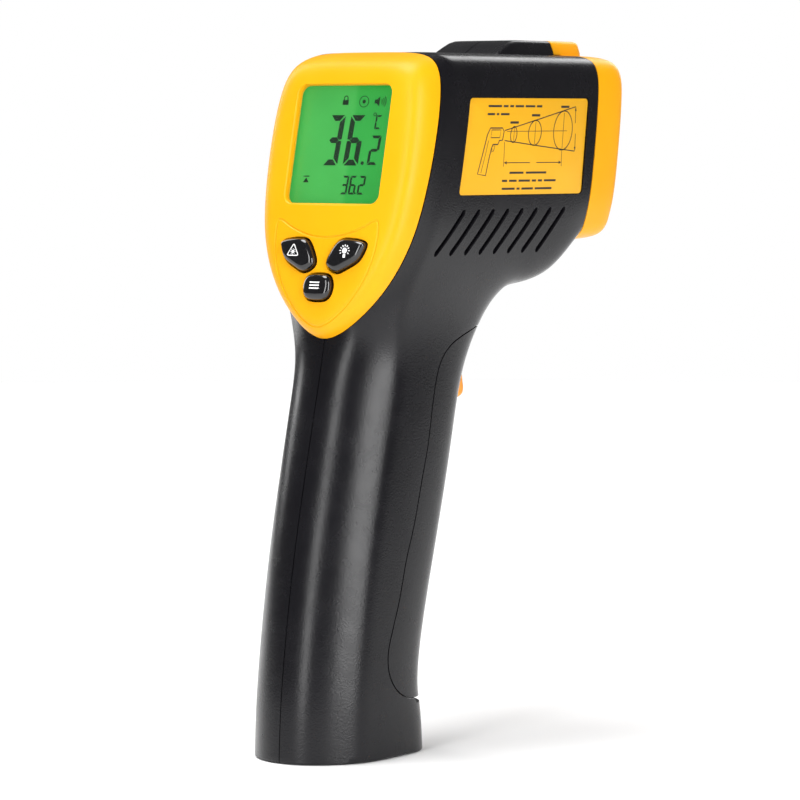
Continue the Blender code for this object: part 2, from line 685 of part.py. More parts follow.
# ---------------------------------------------------------------- nose cap and optics
def nose_ring(forward, inset):
    """Cage ring of the nose cap: the head's front edge moved forwards and drawn in."""
    outline = [(0.0, 108.9), (9.0, 108.9), (18.6, 109.0), (19.5, 113.6), (20.5, 118.0),
               (20.7, 130.0), (20.6, 141.0), (19.7, 149.6), (10.0, 149.8), (0.0, 149.8)]
    ring = []
    for x, z in outline:
        wide = x * (1 - inset / 20.0)
        high = 129.4 + (z - 129.4) * (1 - inset / 20.4)
        ring.append((wide, nose_depth(high) + forward, high))
    return ring


nose_rings = [nose_ring(GAP, 0.0), nose_ring(6.0, 0.0), nose_ring(11.8, 0.4), nose_ring(12.7, 3.4)]
nose_cap = capped_cage("nose_cap", nose_rings, range(3, 7), [2, 1, 0], [7, 8, 9], 0.2, YELLOW_ABS)
tip = ridge_tip("nose_ridge_tip")
under_tip = slab("nose_tip_underside_cutter", LEVEL, (-14, 60, 140), (14, 69.1, 150.0), None,
                 cutters)
combine(tip, under_tip, "DIFFERENCE")
combine(nose_cap, tip, "UNION")
laser_collar = turned("laser_collar_cutter", (0, 72.0, LASER_AXIS_Z), (0, 1, 0),
                      [(0, 4.3), (8.2, 4.3), (8.6, 3.9)], None, cutters, 32)
combine(nose_cap, laser_collar, "UNION")
combine(nose_cap, laser_bore, "DIFFERENCE")
lens_hole = turned("lens_hole_cutter", (0, 60, LENS_AXIS_Z), (0, 1, 0), [(0, 10.3), (40, 10.3)],
                   None, cutters, 32)
combine(nose_cap, lens_hole, "DIFFERENCE")

lens_ring = turned("lens_ring", (0, 70.2, LENS_AXIS_Z), (0, 1, 0), [(0, 10.0), (7.6, 10.0)],
                   BLACK_ABS, segments=32)
funnel = turned("lens_ring_cutter", (0, 69.0, LENS_AXIS_Z), (0, 1, 0),
                [(0, 5.2), (2.6, 5.2), (9.6, 8.8)], None, cutters, 32)
combine(lens_ring, funnel, "DIFFERENCE")
turned("infrared_lens", (0, 68.0, LENS_AXIS_Z), (0, 1, 0), [(0, 6.3), (1.2, 6.3), (2.0, 4.9)],
       LENS_GLASS, segments=32)
barrel = turned("lens_barrel", (0, 49.0, LENS_AXIS_Z), (0, 1, 0),
                [(0, 9.6), (4, 9.6), (4, 7.6), (18.7, 7.6)], BLACK_ABS, segments=32)
barrel_bore = turned("lens_barrel_cutter", (0, 48.0, LENS_AXIS_Z), (0, 1, 0),
                     [(0, 5.0), (22, 5.0)], None, cutters, 32)
combine(barrel, barrel_bore, "DIFFERENCE")
turned("thermopile_sensor", (0, 48.7, LENS_AXIS_Z), (0, 1, 0),
       [(0, 4.6), (0.5, 4.6), (0.5, 4.1), (4.2, 4.1)], STEEL, segments=24)
slab("sensor_board", LEVEL, (-12, 46.8, LENS_AXIS_Z - 11), (12, 48.4, LENS_AXIS_Z + 11), PCB_GREEN)
turned("laser_module", (0, 56.0, LASER_AXIS_Z), (0, 1, 0), [(0, 3.0), (13.5, 3.0), (14.0, 2.6)],
       BRASS, segments=24)
turned("laser_window", (0, 77.0, LASER_AXIS_Z), (0, 1, 0), [(0, 2.0), (1.0, 2.0)], LASER_RED,
       segments=24)


# ---------------------------------------------------------------- trigger group
TRIGGER_OUTLINE = [(31.2, 107.0), (36.6, 107.0), (41.6, 101.4), (41.2, 98.6), (38.3, 93.6),
                   (36.2, 88.4), (35.4, 83.4), (35.9, 79.4), (36.3, 77.2), (35.4, 75.6),
                   (32.8, 75.2), (29.6, 76.4), (29.0, 79.0), (29.0, 96.0)]
trigger = prism("trigger", TRIGGER_OUTLINE, -6.3, 6.3, ORANGE_ABS)
trigger_edge = trigger.modifiers.new("soft_edge", "BEVEL")
trigger_edge.width = 0.0008
trigger_edge.segments = 1
trigger_edge.angle_limit = math.radians(60)
trigger_hole = turned("trigger_hole_cutter", (-9, *TRIGGER_PIVOT), (1, 0, 0),
                      [(0, 1.2), (18, 1.2)], None, cutters, 16)
combine(trigger, trigger_hole, "DIFFERENCE")
turned("trigger_pin", (-9.8, *TRIGGER_PIVOT), (1, 0, 0), [(0, 0.95), (19.6, 0.95)], STEEL,
       segments=16)
slab("trigger_board", LEVEL, (-8.5, 18.0, 76.0), (8.5, 19.6, 98.5), PCB_GREEN)
switch = slab("trigger_switch", LEVEL, (-3.2, 19.9, 86.6), (3.2, 26.0, 95.4), SWITCH_BLACK)
switch_bore = turned("trigger_switch_cutter", (0, 22.0, 91.0), (0, 1, 0), [(0, 1.25), (6, 1.25)],
                     None, cutters, 16)
combine(switch, switch_bore, "DIFFERENCE")
turned("trigger_plunger", (0, 24.4, 91.0), (0, 1, 0), [(0, 1.0), (3.9, 1.0), (4.3, 0.6)],
       ORANGE_ABS, segments=16)


def hose(name, path, radius, sides, mat):
    """A round wire along a path of design points."""
    points = [Vector(p) for p in path]
    rings = []
    up = Vector((1, 0, 0))
    for k, p in enumerate(points):
        before = points[max(k - 1, 0)]
        after = points[min(k + 1, len(points) - 1)]
        run = (after - before).normalized()
        side = run.cross(up)
        if side.length < 0.05:
            side = run.cross(Vector((0, 0, 1)))
        side.normalize()
        lift = side.cross(run).normalized()
        ring = []
        for s in range(sides):
            a = 2 * math.pi * s / sides
            ring.append(spot(*(p + radius * (math.cos(a) * side + math.sin(a) * lift))))
        rings.append(ring)
    return skin(name, rings, mat)


def coil_path(y_from, y_to, z, radius, turns, steps):
    """Centre line of a coil spring along Y."""
    path = []
    for k in range(int(turns * steps) + 1):
        share = k / (turns * steps)
        a = 2 * math.pi * turns * share
        path.append((radius * math.cos(a), y_from + (y_to - y_from) * share,
                     z + radius * math.sin(a)))
    return path


hose("trigger_spring", coil_path(20.2, 28.5, 81.0, 2.3, 5, 12), 0.28, 6, SPRING_STEEL)


# ---------------------------------------------------------------- battery and door
BATTERY = frame_at(BATTERY_CENTRE, (1, 0, 0), (0, math.cos(BATTERY_LEAN), -math.sin(BATTERY_LEAN)))
half_x, half_y, half_z = (s / 2 for s in BATTERY_SIZE)
battery = slab("battery", BATTERY, (-half_x, -half_y, -half_z), (half_x, half_y, half_z),
               BATTERY_JACKET)
battery_edge = battery.modifiers.new("soft_edge", "BEVEL")
battery_edge.width = 0.0015
battery_edge.segments = 2
battery_edge.angle_limit = math.radians(60)
slab("battery_snap", BATTERY, (-6.6, -11.6, half_z + 0.3), (6.6, 11.6, half_z + 3.4), RUBBER)

for name, x, mat in (("red_lead", 2.2, WIRE_RED), ("black_lead", -2.2, WIRE_BLACK)):
    path = [BATTERY @ Vector((x, -5.0, half_z + 3.6)), BATTERY @ Vector((x, -5.0, half_z + 7.0)),
            Vector((x * 2.0, 13.6, 82.0)), Vector((x * 2.6, 14.4, 90.0)),
            Vector((x * 2.6, 12.6, 97.0)), Vector((x * 2.2, 9.6, 103.0)),
            Vector((x * 2.0, 6.6, 107.0))]
    hose(name, path, 0.6, 6, mat)

battery_door = shell("battery_door", BLACK_ABS)
combine(battery_door, door_keep, "INTERSECT")
combine(battery_door, trigger_slot, "DIFFERENCE")
knuckle = turned("door_knuckle", (-2.9, *DOOR_PIVOT), (1, 0, 0), [(0, 1.5), (5.8, 1.5)], None,
                 cutters, 16)
combine(battery_door, knuckle, "UNION")
for side in (1, -1):
    notch = slab(f"door_notch_{side + 2}", LEVEL, (min(side * 3.0, side * 6.1), 9.0, 12.0),
                 (max(side * 3.0, side * 6.1), 16.0, 16.7), None, cutters)
    combine(battery_door, notch, "DIFFERENCE")
knuckle_hole = turned("door_knuckle_hole", (-5, *DOOR_PIVOT), (1, 0, 0), [(0, 1.0), (10, 1.0)],
                      None, cutters, 12)
combine(battery_door, knuckle_hole, "DIFFERENCE")
turned("door_pin", (-5.3, *DOOR_PIVOT), (1, 0, 0), [(0, 0.75), (10.6, 0.75)], STEEL, segments=12)

set_origin(trigger, (0, *TRIGGER_PIVOT))
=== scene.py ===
"""Looks of the handheld infrared thermometer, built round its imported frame.

Design positions are in millimetres, as the object's maker would draw them: Y_CENTRE and
FOOT_Z move them to the row's origin, which is on the floor in the middle of the object.
"""
import math

import bmesh
import bpy
import numpy as np
from mathutils import Matrix, Vector
from mathutils.bvhtree import BVHTree


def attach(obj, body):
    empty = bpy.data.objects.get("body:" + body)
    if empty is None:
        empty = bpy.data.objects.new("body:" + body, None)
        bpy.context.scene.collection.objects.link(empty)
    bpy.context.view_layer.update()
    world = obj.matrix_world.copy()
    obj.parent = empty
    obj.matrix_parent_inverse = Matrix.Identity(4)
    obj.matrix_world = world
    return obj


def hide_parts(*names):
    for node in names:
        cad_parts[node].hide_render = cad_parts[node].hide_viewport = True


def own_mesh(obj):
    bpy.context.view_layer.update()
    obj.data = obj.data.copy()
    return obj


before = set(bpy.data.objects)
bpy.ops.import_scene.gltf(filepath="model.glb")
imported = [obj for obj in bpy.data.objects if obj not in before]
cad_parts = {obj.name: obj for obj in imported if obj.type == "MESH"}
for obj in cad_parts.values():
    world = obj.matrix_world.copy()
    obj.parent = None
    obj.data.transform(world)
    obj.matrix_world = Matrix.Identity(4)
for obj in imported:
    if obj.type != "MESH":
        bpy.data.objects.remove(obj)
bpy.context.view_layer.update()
DETAIL = 3
ROUND_SIDES = 72

# ---------------------------------------------------------------- driving sizes, mm
Y_CENTRE = 28.7
FOOT_Z = 1.9
WALL = 1.8
GAP = 0.3
SEAT_GAP = 0.4
SEAM = 0.1
GRIP_HALF = 15.15
BACK_DEPTH = 17.5
FRONT_DEPTH = 10.5
ROUND = 1.0467
FACE_TILT = math.radians(12.5)
SEAT_SLOPE = 0.27
FACE_ORIGIN = (0.0, 1.3, 143.0)
NOSE_SLOPE = 0.140
LENS_AXIS_Z = 127.0
LASER_AXIS_Z = 148.0
TRIGGER_PIVOT = (34.0, 104.5)
DOOR_PIVOT = (11.9, 14.7)
BATTERY_LEAN = math.radians(13.0)
BATTERY_CENTRE = (0.0, 2.9, 43.5)
BATTERY_SIZE = (16.4, 25.4, 47.5)
SEAT_POINT = (7.4, 139.6)          # y, z on the plane where the bezel sits
NOSE_POINT = (62.4, 107.2)         # y, z on the plane where the nose cap sits
WINDOW_HALF = 12.2
WINDOW_LOW = 118.1
WINDOW_HIGH = 143.0
COVER_WALL = 1.6
SLOT_HALF = 6.9
LABEL_FACE = 20.30
KNUCKLE_SIDE = 3.3
SPRING_RADIUS = 2.3
SPRING_AXIS_Z = 81.0
SPRING_POINTS = 100
SPRING_TURN_POINTS = 20
ACROSS = 30                        # half length of a cutter that passes through everything
FAR_FRONT = 60.0
CORNER_STEPS = 8
CURVE_STEPS = 6
FOOT_POINTS = 96
SIGN_SLANT = 0.06

# ---------------------------------------------------------------- stage, m
TARGET = (0.0, 0.0, 0.085)
FLOOR_RADIUS = 1.15
CAMERA_PLACE = (0.4801, -0.6687, 0.1321)
CAMERA_RIGHT = (0.809, 0.5878, 0.0)
CAMERA_LOOK = (-0.5863, 0.8069, -0.0717)

# ---------------------------------------------------------------- outlines, mm
SCREW_SPOTS = [(-8.0, 8.0), (7.2, 86.0), (27.0, 143.0), (50.5, 106.6)]

BACK_LINE = [(0, -22.2), (3, -22.1), (15.3, -21.3), (29.7, -19.5), (44, -17.1),
             (54.4, -14.7), (65.7, -11.9), (77, -9.1), (88, -6.3)]
FRONT_LINE = [(0, 16.6), (3, 16.3), (12.4, 15.3), (15.8, 14.1), (25.7, 15.2), (35, 17.7),
              (44.4, 20.6), (53.7, 23.4), (63.2, 26.0), (75.8, 28.7), (82, 30.1),
              (88, 33.4), (94.2, 38.0)]
GRIP_ROWS = [-5.0, 5.0, 12.4, 15.8, 26.0, 44.0, 62.0, 76.0, 85.0]
SEAT = [(0.0, 88.0), (8.0, 93.2), (14.6, 100.4), (18.7, 109.0), (20.4, 118.0),
        (21.0, 130.0), (20.5, 141.0), (18.2, 148.8), (10.0, 149.75), (0.0, 149.7)]
BODY_LINE = [(14.2, 0.3, 94.2), (16.9, 2.2, 102.0), (19.6, 4.9, 109.0), (20.5, 7.0, 117.5),
             (20.7, 11.0, 130.0), (20.6, 13.4, 141.0), (19.6, 12.6, 149.6),
             (10.0, 12.3, 149.75), (0.0, 12.2, 149.7)]
HEAD_ROWS = [94.2, 101.5, 109.0, 118.0, 130.0, 141.0]
HEAD_HALF = [15.6, 17.6, 19.5, 20.5, 20.7, 20.6]
HEAD_TOP = [(19.7, 149.6), (10.0, 149.8), (0.0, 149.8)]
DOOR_LINE = [(28.7, 91.2), (22.2, 89.35), (17.6, 87.2), (14.8, 84.3), (13.3, 80.9),
             (12.0, 75.8), (10.3, 67.3), (8.0, 59.6), (5.2, 50.3), (2.6, 43.6),
             (0.1, 35.1), (-2.2, 29.0), (-3.6, 24.7), (-3.7, 21.2), (-2.7, 18.4),
             (-0.6, 16.0), (2.6, 14.4), (7.0, 13.7)]
TRIGGER_SLOT = [(22.0, 73.0), (40.0, 73.0), (46.0, 90.0), (43.6, 98.5), (43.6, 106.0),
                (22.0, 106.0)]
LABEL_CORNERS = [(13.9, 119.6), (60.5, 119.4), (63.3, 140.2), (18.1, 140.1)]
LUG_OUTLINE = [(10.3, 9.5), (13.4, 9.5), (13.4, 12.2), (13.1, 13.4), (13.1, 15.3),
               (12.4, 16.3), (11.2, 16.3), (10.3, 15.3)]
TRIGGER_OUTLINE = [(31.2, 107.0), (36.6, 107.0), (41.6, 101.4), (41.2, 98.6), (38.3, 93.6),
                   (36.2, 88.4), (35.4, 83.4), (35.9, 79.4), (36.3, 77.2), (35.4, 75.6),
                   (32.8, 75.2), (29.9, 76.4), (29.05, 78.4), (29.0, 81.0), (29.0, 86.0),
                   (29.0, 91.0), (29.0, 96.0), (29.3, 101.0)]
KEY_SHAPES = {
    "button_backlight": [(1.6, 105.3), (4.1, 103.7), (6.9, 104.7), (9.5, 106.3), (10.7, 108.4),
                         (10.9, 109.7), (9.6, 110.3), (6.9, 110.6), (4.4, 110.3), (2.6, 108.2)],
    "button_laser": [(-1.6, 105.3), (-2.6, 108.2), (-4.4, 110.3), (-6.9, 110.6), (-9.6, 110.3),
                     (-10.9, 109.7), (-10.7, 108.4), (-9.5, 106.3), (-6.9, 104.7), (-4.1, 103.7)],
    "button_mode": [(-3.6, 100.9), (-3.2, 98.9), (-1.7, 97.9), (1.7, 97.9), (3.2, 98.9),
                    (3.6, 100.9), (2.9, 102.6), (1.4, 103.2), (-1.4, 103.2), (-2.9, 102.6)],
}


# ---------------------------------------------------------------- mesh helpers
def spot(x, y, z):
    """A design position in millimetres as a point of the row's frame in metres."""
    return Vector((x, y - Y_CENTRE, z - FOOT_Z)) * 0.001


def along(line, key):
    """The second value of a two-column line at a value of the first."""
    return float(np.interp(key, [row[0] for row in line], [row[1] for row in line]))


def link_mesh(name, verts, faces, creases=None):
    """A new mesh object with outward faces; creases maps vertex pairs to weights."""
    mesh = bpy.data.meshes.new(name)
    mesh.from_pydata([tuple(v) for v in verts], [], faces)
    work = bmesh.new()
    work.from_mesh(mesh)
    bmesh.ops.recalc_face_normals(work, faces=work.faces)
    if creases is not None:
        layer = work.edges.layers.float.new("crease_edge")
        for edge in work.edges:
            pair = frozenset(v.index for v in edge.verts)
            edge[layer] = creases.get(pair, 0.0)
    work.to_mesh(mesh)
    work.free()
    made = bpy.data.objects.new(name, mesh)
    bpy.context.scene.collection.objects.link(made)
    return made


def skin(name, rings, loop=False):
    """A body through equal closed rings, with flat ends, or joined end to end."""
    count = len(rings[0])
    verts = [p for ring in rings for p in ring]
    faces = []
    last = len(rings) if loop else len(rings) - 1
    for r in range(last):
        nxt = (r + 1) % len(rings)
        for k in range(count):
            n = (k + 1) % count
            faces.append((r * count + k, r * count + n, nxt * count + n, nxt * count + k))
    if not loop:
        faces.append(tuple(range(count)))
        faces.append(tuple(range((len(rings) - 1) * count, len(rings) * count)))
    return link_mesh(name, verts, faces)


def prism(name, profile, x_from=-ACROSS, x_to=ACROSS):
    """A straight bar along X with a (y, z) profile."""
    return skin(name, [[spot(x, y, z) for y, z in profile] for x in (x_from, x_to)])


def round_ring(centre, axis, radius, segments):
    """A circle of points square to an axis."""
    normal = Vector(axis).normalized()
    side = normal.cross(Vector((0, 0, 1)))
    if side.length < 1e-6:
        side = Vector((1, 0, 0))
    side.normalize()
    up = side.cross(normal)
    ring = []
    for k in range(segments):
        a = 2 * math.pi * k / segments
        ring.append(spot(*(Vector(centre) + radius * (math.cos(a) * side + math.sin(a) * up))))
    return ring


def turned(name, centre, axis, stations, segments=ROUND_SIDES, loop=False):
    """A round body: stations are (distance along the axis, radius)."""
    direction = Vector(axis).normalized()
    rings = [round_ring(Vector(centre) + d * direction, axis, r, segments) for d, r in stations]
    return skin(name, rings, loop=loop)


def frame_at(origin, right, up):
    """A placement with X to the right and Y up along a face."""
    x_axis = Vector(right).normalized()
    y_axis = Vector(up).normalized()
    turn = Matrix((x_axis, y_axis, x_axis.cross(y_axis))).transposed().to_4x4()
    return Matrix.Translation(Vector(origin)) @ turn


FACE = frame_at(FACE_ORIGIN, (1, 0, 0), (0, math.sin(FACE_TILT), math.cos(FACE_TILT)))
BATTERY = frame_at(BATTERY_CENTRE, (1, 0, 0),
                   (0, math.cos(BATTERY_LEAN), -math.sin(BATTERY_LEAN)))


def slab(name, lo, hi):
    """A level block between two opposite corners."""
    corners = [(x, y, z) for x in (lo[0], hi[0]) for y in (lo[1], hi[1]) for z in (lo[2], hi[2])]
    verts = [spot(*Vector(c)) for c in corners]
    faces = [(0, 1, 3, 2), (4, 6, 7, 5), (0, 4, 5, 1), (2, 3, 7, 6), (0, 2, 6, 4), (1, 5, 7, 3)]
    return link_mesh(name, verts, faces)


def face_height(z):
    """Distance along the tilted face for a design height."""
    return (z - FACE_ORIGIN[2]) / math.cos(FACE_TILT)


def on_face(x, height, depth):
    """A point under the tilted face: across, along and into it."""
    return spot(*(FACE @ Vector((x, height, -depth))))


def rounded_box(x0, x1, y0, y1, radius):
    """A rectangle with round corners."""
    points = []
    corners = [(x1 - radius, y1 - radius, 0), (x0 + radius, y1 - radius, 90),
               (x0 + radius, y0 + radius, 180), (x1 - radius, y0 + radius, 270)]
    for cx, cy, begin in corners:
        for k in range(CORNER_STEPS + 1):
            a = math.radians(begin + 90 * k / CORNER_STEPS)
            points.append((cx + radius * math.cos(a), cy + radius * math.sin(a)))
    return points


def rounded_polygon(corners, radius, steps=6):
    """A polygon with each corner replaced by a smooth curve."""
    points = []
    for k, corner in enumerate(corners):
        here = Vector(corner)
        before = (Vector(corners[k - 1]) - here).normalized() * radius
        after = (Vector(corners[(k + 1) % len(corners)]) - here).normalized() * radius
        for s in range(steps + 1):
            t = s / steps
            points.append(tuple(here + before * (1 - t) ** 2 + after * t ** 2))
    return points


def arc_between(four, steps):
    """Points from the second to the third of four, bending as the outer two ask."""
    a, b, c, d = four
    dense = []
    for s in range(steps):
        t = s / steps
        p = 0.5 * ((2 * b) + (c - a) * t + (2 * a - 5 * b + 4 * c - d) * t * t
                   + (3 * b - a - 3 * c + d) * t ** 3)
        dense.append(tuple(p))
    return dense


def smooth_loop(points, steps):
    """A smooth closed curve through the points of an outline."""
    dense = []
    count = len(points)
    for k in range(count):
        dense += arc_between([Vector(points[(k + s) % count]) for s in (-1, 0, 1, 2)], steps)
    return dense


def offset_loop(points, amount):
    """A closed outline moved outwards by a distance, whichever way it runs."""
    count = len(points)
    area = sum(points[k][0] * points[(k + 1) % count][1] - points[(k + 1) % count][0] * points[k][1]
               for k in range(count))
    turn = 1.0 if area > 0 else -1.0
    moved = []
    for k in range(count):
        here = Vector(points[k])
        run = Vector(points[(k + 1) % count]) - Vector(points[k - 1])
        run.normalize()
        moved.append((here.x + run.y * amount * turn, here.y - run.x * amount * turn))
    return moved


def grown(outline, amount):
    """An outline with each corner moved away from its middle."""
    middle = Vector((sum(p[0] for p in outline), sum(p[1] for p in outline))) / len(outline)
    moved = []
    for p in outline:
        arm = Vector(p) - middle
        moved.append(tuple(middle + arm * (1 + amount / arm.length)))
    return moved


def bake(target):
    """Turn the modifiers into plain mesh."""
    bpy.context.view_layer.update()
    graph = bpy.context.evaluated_depsgraph_get()
    mesh = bpy.data.meshes.new_from_object(target.evaluated_get(graph))
    target.modifiers.clear()
    target.data = mesh


def carve(target, tools, operation):
    """One exact Boolean with several tools, which are used up."""
    group = bpy.data.collections.new("tools")
    bpy.context.scene.collection.children.link(group)
    for tool in tools:
        bpy.context.scene.collection.objects.unlink(tool)
        group.objects.link(tool)
    step = target.modifiers.new("step", "BOOLEAN")
    step.operation = operation
    step.solver = "EXACT"
    if len(tools) == 1:
        step.object = tools[0]
    else:
        step.operand_type = "COLLECTION"
        step.collection = group
    bake(target)
    for tool in tools:
        bpy.data.objects.remove(tool, do_unlink=True)
    bpy.data.collections.remove(group)


def shade(target, degrees=32):
    """Smooth shading with sharp edges where the surface turns hard."""
    work = bmesh.new()
    work.from_mesh(target.data)
    bmesh.ops.dissolve_degenerate(work, dist=0.000004, edges=work.edges)
    limit = math.radians(degrees)
    for edge in work.edges:
        edge.smooth = len(edge.link_faces) == 2 and edge.calc_face_angle(0.0) < limit
    for face in work.faces:
        face.smooth = True
        face.material_index = 0
    work.to_mesh(target.data)
    work.free()


def piece(target, body, slot, mat, *nodes, degrees=32):
    """Shading, finish, body and the CAD nodes that the piece stands for."""
    shade(target, degrees)
    target.data.materials.clear()
    target.data.materials.append(mat)
    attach(target, body)
    if nodes:
        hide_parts(*nodes)
    return target


# ---------------------------------------------------------------- materials
def nodes_of(name):
    made = bpy.data.materials.new(name)
    made.use_nodes = True
    return made, made.node_tree, made.node_tree.nodes["Principled BSDF"]


def noise(tree, scale, detail=3.0, rough=0.55):
    place = tree.nodes.new("ShaderNodeTexCoord")
    made = tree.nodes.new("ShaderNodeTexNoise")
    made.inputs["Scale"].default_value = scale
    made.inputs["Detail"].default_value = detail
    made.inputs["Roughness"].default_value = rough
    tree.links.new(place.outputs["Object"], made.inputs["Vector"])
    return made


def spread(tree, source, low, high, begin=0.3, end=0.7):
    made = tree.nodes.new("ShaderNodeMapRange")
    made.inputs["From Min"].default_value = begin
    made.inputs["From Max"].default_value = end
    made.inputs["To Min"].default_value = low
    made.inputs["To Max"].default_value = high
    tree.links.new(source, made.inputs["Value"])
    return made.outputs["Result"]


def tint(tree, source, dark, light):
    made = tree.nodes.new("ShaderNodeValToRGB")
    made.color_ramp.elements[0].position = 0.3
    made.color_ramp.elements[0].color = (*dark, 1.0)
    made.color_ramp.elements[1].position = 0.7
    made.color_ramp.elements[1].color = (*light, 1.0)
    tree.links.new(source, made.inputs["Fac"])
    return made.outputs["Color"]


def rough_bump(tree, shader, source, distance):
    """Fine relief whose height is in millimetres."""
    made = tree.nodes.new("ShaderNodeBump")
    made.inputs["Strength"].default_value = 1.0
    made.inputs["Distance"].default_value = distance * 0.001
    tree.links.new(source, made.inputs["Height"])
    tree.links.new(made.outputs["Normal"], shader.inputs["Normal"])


def moulded(name, dark, light, rough, grain, height, metallic=0.0, spec=0.5, coat=0.0):
    """Moulded or cast surface: fine grain, slow changes of tone and gloss."""
    made, tree, shader = nodes_of(name)
    slow = noise(tree, 60.0, 2.0)
    fine = noise(tree, grain, 2.0, 0.5)
    tree.links.new(tint(tree, slow.outputs["Fac"], dark, light), shader.inputs["Base Color"])
    middle = noise(tree, 220.0, 3.0)
    tree.links.new(spread(tree, middle.outputs["Fac"], *rough), shader.inputs["Roughness"])
    rough_bump(tree, shader, fine.outputs["Fac"], height)
    shader.inputs["Metallic"].default_value = metallic
    shader.inputs["Specular IOR Level"].default_value = spec
    shader.inputs["Coat Weight"].default_value = coat
    shader.inputs["Coat Roughness"].default_value = 0.08
    return made


BLACK = moulded("black_moulded_abs", (0.0040, 0.0038, 0.0052), (0.0060, 0.0057, 0.0074),
                (0.23, 0.29), 2600.0, 0.030, spec=0.32)
YELLOW = moulded("yellow_moulded_abs", (0.84, 0.362, 0.002), (0.88, 0.384, 0.003),
                 (0.36, 0.44), 1900.0, 0.012, spec=0.22)
ORANGE = moulded("orange_moulded_abs", (0.86, 0.30, 0.012), (0.92, 0.34, 0.016),
                 (0.34, 0.44), 1900.0, 0.016)
KEY_BLACK = moulded("gloss_black_key", (0.004, 0.004, 0.005), (0.006, 0.006, 0.007),
                    (0.07, 0.12), 900.0, 0.001, coat=0.5)
PRINT_WHITE = moulded("white_pad_print", (0.80, 0.80, 0.80), (0.88, 0.88, 0.88),
                      (0.40, 0.50), 2500.0, 0.003)
PRINT_BLACK = moulded("black_label_print", (0.020, 0.016, 0.012), (0.035, 0.026, 0.018),
                      (0.45, 0.60), 2500.0, 0.002)
SEGMENT = moulded("lcd_segment", (0.003, 0.012, 0.005), (0.005, 0.018, 0.007),
                  (0.30, 0.40), 1500.0, 0.001)
LABEL = moulded("yellow_label_film", (0.74, 0.372, 0.012), (0.78, 0.398, 0.016),
                (0.34, 0.44), 700.0, 0.003, spec=0.2, coat=0.05)
RUBBER = moulded("black_rubber", (0.012, 0.012, 0.013), (0.022, 0.022, 0.023),
                 (0.60, 0.75), 2400.0, 0.03)
SWITCH = moulded("switch_plastic", (0.020, 0.020, 0.021), (0.030, 0.030, 0.031),
                 (0.45, 0.58), 2200.0, 0.015)
OPTICS = moulded("optics_black", (0.006, 0.006, 0.007), (0.010, 0.010, 0.011),
                 (0.50, 0.62), 2800.0, 0.030)
LENS = moulded("infrared_lens_glass", (0.055, 0.050, 0.062), (0.075, 0.066, 0.082),
               (0.08, 0.14), 500.0, 0.001, metallic=0.35, coat=0.6)
STEEL = moulded("zinc_plated_steel", (0.48, 0.48, 0.50), (0.60, 0.60, 0.61),
                (0.22, 0.36), 1800.0, 0.006, metallic=1.0)
SPRING = moulded("spring_wire", (0.42, 0.43, 0.45), (0.55, 0.56, 0.58),
                 (0.18, 0.30), 2200.0, 0.004, metallic=1.0)
BRASS = moulded("turned_brass", (0.62, 0.43, 0.16), (0.74, 0.54, 0.22),
                (0.20, 0.34), 2200.0, 0.005, metallic=1.0)
LASER_RED = moulded("red_acrylic", (0.28, 0.008, 0.010), (0.34, 0.012, 0.014),
                    (0.06, 0.12), 600.0, 0.001, coat=0.5)
BATTERY_METAL = moulded("battery_jacket_metal", (0.16, 0.17, 0.20), (0.24, 0.25, 0.28),
                        (0.24, 0.34), 1300.0, 0.004, metallic=0.85)
BATTERY_BAND = moulded("battery_jacket_band", (0.62, 0.34, 0.03), (0.72, 0.42, 0.05),
                       (0.24, 0.34), 1300.0, 0.004, metallic=0.5)
BOARD = moulded("solder_mask_green", (0.012, 0.105, 0.040), (0.020, 0.150, 0.060),
                (0.28, 0.42), 1100.0, 0.010, coat=0.2)
WHITE_GUIDE = moulded("backlight_diffuser", (0.66, 0.74, 0.66), (0.76, 0.84, 0.76),
                      (0.42, 0.55), 1400.0, 0.006)
WIRE_RED = moulded("red_wire_jacket", (0.42, 0.012, 0.012), (0.52, 0.018, 0.016),
                   (0.38, 0.48), 2600.0, 0.006)
WIRE_BLACK = moulded("black_wire_jacket", (0.010, 0.010, 0.011), (0.018, 0.018, 0.019),
                     (0.38, 0.48), 2600.0, 0.006)


def lit_lcd():
    """Green backlit display glass, with a painted glare: the left side glows brighter."""
    made, tree, shader = nodes_of("lcd_backlit_green")
    place = tree.nodes.new("ShaderNodeTexCoord")
    axes = tree.nodes.new("ShaderNodeSeparateXYZ")
    tree.links.new(place.outputs["Object"], axes.inputs["Vector"])
    # Painted glare: the emission runs from a brighter green on the left to a dimmer green on the
    # right, by X, in place of a reflection on the glass.
    side = spread(tree, axes.outputs["X"], 0.0, 1.0, 0.0010, 0.0022)
    backlight_glare_ramp = tree.nodes.new("ShaderNodeValToRGB")
    backlight_glare_ramp.color_ramp.elements[0].color = (0.046, 0.410, 0.056, 1.0)
    backlight_glare_ramp.color_ramp.elements[1].color = (0.008, 0.330, 0.026, 1.0)
    tree.links.new(side, backlight_glare_ramp.inputs["Fac"])
    mottle = noise(tree, 90.0, 2.0)
    shift = spread(tree, mottle.outputs["Fac"], 0.86, 1.0)
    tree.links.new(backlight_glare_ramp.outputs["Color"], shader.inputs["Emission Color"])
    glow = tree.nodes.new("ShaderNodeMath")
    glow.operation = "MULTIPLY"
    glow.inputs[1].default_value = 0.86
    tree.links.new(shift, glow.inputs[0])
    tree.links.new(glow.outputs["Value"], shader.inputs["Emission Strength"])
    shader.inputs["Base Color"].default_value = (0.02, 0.12, 0.03, 1.0)
    tree.links.new(spread(tree, mottle.outputs["Fac"], 0.30, 0.40), shader.inputs["Roughness"])
    return made


